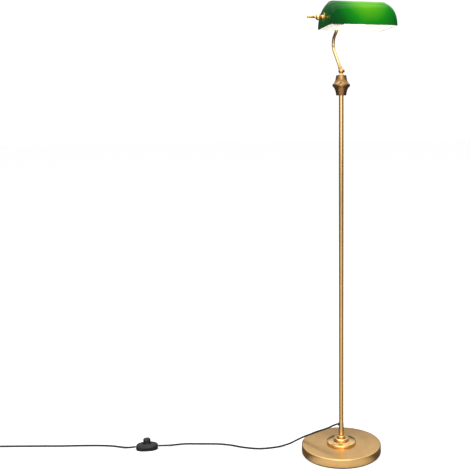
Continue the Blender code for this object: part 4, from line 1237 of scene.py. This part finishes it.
# %% Spring
SPRING_RADIUS = 0.0070
SPRING_STEPS = 72
helix = []
for i in range(SPRING_STEPS + 1):
    a = math.tau * 2 * i / SPRING_STEPS
    helix.append((SPRING_RADIUS * math.cos(a), SPRING_RADIUS * math.sin(a),
                  0.0118 + 0.0040 * i / SPRING_STEPS))
spring = as_mesh(round_curve("switch_spring_wound", 0.0004, 3, [helix]))
put(spring, switch_place)
fit(spring, "stand", "steel", ZINC, "switch_spring")
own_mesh(spring)

# %% [markdown]
# ## The plug
# A flat moulded plug with two round pins. Its strain relief is a stack of ribs, so the grown sections go in
# and out there before they widen into the grip.

# %% Plug body and pins
plug_place = Matrix.Translation((-1.2428, 0.4125, 0.0070)) @ Matrix.Rotation(math.radians(162.9), 4, "Z")


def plug_ring(half_width, half_height, along):
    """One section of the plug, across the direction in which it points."""
    outline = rounded_box(half_width, half_height, min(half_height * 0.9, 0.0045), 8)
    return [Vector((along, across, up)) for across, up in outline]


plug_sections = [plug_ring(0.0038, 0.0038, 0.0)]
for rib in range(6):
    size = 0.0042 + 0.0008 * rib / 5
    begin = 0.0006 + 0.0032 * rib
    for width, along in ((size, begin), (size, begin + 0.0018), (size - 0.0008, begin + 0.0021),
                         (size - 0.0008, begin + 0.0029)):
        plug_sections.append(plug_ring(width, width, along))
for section in ((0.0054, 0.0051, 0.0203), (0.0066, 0.0054, 0.0214), (0.0085, 0.0058, 0.0232),
                (0.0112, 0.0062, 0.0265), (0.0138, 0.0065, 0.0302), (0.0158, 0.0067, 0.0342),
                (0.0171, 0.0068, 0.0385), (0.0176, 0.0068, 0.0425), (0.0174, 0.0068, 0.0465),
                (0.0160, 0.0067, 0.0500), (0.0138, 0.0065, 0.0530), (0.0128, 0.0063, 0.0550),
                (0.0122, 0.0060, 0.0560)):
    plug_sections.append(plug_ring(*section))
plug_body = grow("plug_body_moulded", plug_sections)
put(plug_body, plug_place)
fit(plug_body, "stand", "plastic", PLASTIC, "plug_body", angle=45.0)
for node, across in (("plug_pin_left", -0.0090), ("plug_pin_right", 0.0090)):
    pin = turn(node + "_turned", [(0.0010, 0.0563), (0.0020, 0.0563), (0.0020, 0.0738), (0.0018, 0.0745),
                                  (0.0013, 0.0751), (0.0006, 0.0754)], 32)
    put(pin, plug_place @ aim((1, 0, 0), (0, across, 0)))
    fit(pin, "stand", "steel", ZINC, node)

# %% [markdown]
# ## Pieces that stay as they are
# The weight, the washers, the sleeves, the spindle and the leads inside are plain turned parts, hidden
# inside the lamp. Their frame meshes are right as they stand, so they only get their finish.

# %% Finishes of the inner pieces
INNER_PIECES = {
    IRON: ["base_weight"],
    ZINC: ["base_washer", "threaded_nipple", "coupling_foot", "coupling_lower", "coupling_upper",
           "swivel_bush", "swivel_spindle", "end_nipple", "switch_screw_left", "switch_screw_right"],
    COPPER: ["switch_contacts"],
    SHEATH: ["pole_lead", "arm_lead"],
}
for finish, nodes in INNER_PIECES.items():
    for node in nodes:
        frame["nodes"][node].data.materials.clear()
        frame["nodes"][node].data.materials.append(finish)
    print(finish.name, "goes on", len(nodes), "inner pieces")

# %% [markdown]
# ## Floor, sky and lights
# The lamp stands on plain white. The floor is white for the camera. In reflections it is painted: light in a
# narrow fan ahead of the lamp towards the camera, and dark elsewhere. That painted reflection draws the
# highlight on the base's side and gives polished brass its brown edges, so that it doesn't wash out. A broad
# panel behind the camera draws the bright stripe down the pole, and a panel overhead lights the tops.

# %% Floor
FRONT = (CAMERA_PLACE * Vector((1, 1, 0))).normalized()
SIDE = Vector((-FRONT.y, FRONT.x, 0))
bpy.ops.object.select_all(action="DESELECT")
bpy.ops.mesh.primitive_plane_add(size=60.0)
floor = bpy.context.object
floor.name = "floor"
floor_white, tree, shader, place = start_finish("floor_white", Roughness=0.9, Specular_IOR_Level=0.0,
                                                Emission_Color=(1.0, 1.0, 1.0, 1.0))
rays = tree.nodes.new("ShaderNodeLightPath").outputs
ahead = vector_node(tree, "DOT_PRODUCT", place, tuple(FRONT)).node.outputs["Value"]
aside = vector_node(tree, "DOT_PRODUCT", place, tuple(SIDE)).node.outputs["Value"]
slant = math_node(tree, "DIVIDE", math_node(tree, "ABSOLUTE", aside), math_node(tree, "MAXIMUM", ahead, 0.02))
# Painted reflection: for glossy rays the floor is light in the fan ahead and dark to the sides and behind.
painted_reflection_fan = span_node(tree, slant, True, From_Min=0.4, From_Max=2.2)
mix_tones(tree, shader, math_node(tree, "MULTIPLY", rays["Is Glossy Ray"], painted_reflection_fan), (0.92, 0.92, 0.92),
          (0.14, 0.12, 0.10))
tree.links.new(math_node(tree, "MULTIPLY", rays["Is Camera Ray"], 0.42), shader.inputs["Emission Strength"])
floor.data.materials.append(floor_white)
print("the floor is", floor.dimensions.x, "m across")

# %% Sky
world = bpy.data.worlds.new("studio")
bpy.context.scene.world = world
bpy.context.scene.view_settings.view_transform = "Standard"
world.use_nodes = True
sky = world.node_tree
sky_out = sky.nodes["Background"]
sky_out.inputs["Color"].default_value = (1.0, 1.0, 1.0, 1.0)
sky_rays = sky.nodes.new("ShaderNodeLightPath").outputs
sky_way = sky.nodes.new("ShaderNodeTexCoord").outputs["Generated"]
sky_parts = sky.nodes.new("ShaderNodeSeparateXYZ")
sky.links.new(sky_way, sky_parts.inputs["Vector"])
overhead = span_node(sky, sky_parts.outputs["Z"], True, From_Min=0.15, From_Max=0.65, To_Min=0.12,
                     To_Max=1.20)
facing = vector_node(sky, "DOT_PRODUCT", sky_way, tuple(FRONT)).node.outputs["Value"]
in_front = span_node(sky, facing, True, From_Min=0.30, From_Max=0.72, To_Max=1.18)


def mix_numbers(tree, mask, plain, masked):
    """One number where a mask is 0, and another where it is 1."""
    mix = tree.nodes.new("ShaderNodeMix")
    for label, value in (("Factor", mask), ("A", plain), ("B", masked)):
        feed(tree, mix.inputs[label], value)
    return mix.outputs["Result"]


reflected = mix_numbers(sky, sky_rays["Is Glossy Ray"], 0.62, math_node(sky, "MAXIMUM", overhead, in_front))
sky.links.new(mix_numbers(sky, sky_rays["Is Camera Ray"], reflected, 1.05), sky_out.inputs["Strength"])
print("the sky has", len(sky.nodes), "nodes")


# %% Lights
def panel(name, place, target, width, height, power):
    """A soft white panel that faces a target."""
    data = bpy.data.lights.new(name, "AREA")
    data.shape = "RECTANGLE"
    data.size = width
    data.size_y = height
    data.energy = power
    light = bpy.data.objects.new(name, data)
    bpy.context.collection.objects.link(light)
    facing = (Vector(target) - Vector(place)).to_track_quat("-Z", "Y").to_matrix().to_4x4()
    light.matrix_world = Matrix.Translation(place) @ facing
    print(name, "gives", power, "W")


panel("front_panel", (-1.6, -5.2, 2.4), (0.0, 0.0, 0.7), 4.0, 3.4, 85.0)
panel("top_panel", (-0.4, -0.2, 4.2), (-0.3, 0.1, 0.0), 3.0, 3.0, 75.0)
bulb_light = bpy.data.lights.new("bulb_light", "POINT")
bulb_light.energy = 0.35
bulb_light.color = (1.0, 0.93, 0.80)
bulb_light.shadow_soft_size = GLOBE_RADIUS
bulb = bpy.data.objects.new("bulb_light", bulb_light)
bpy.context.collection.objects.link(bulb)
bulb.location = bulb_centre
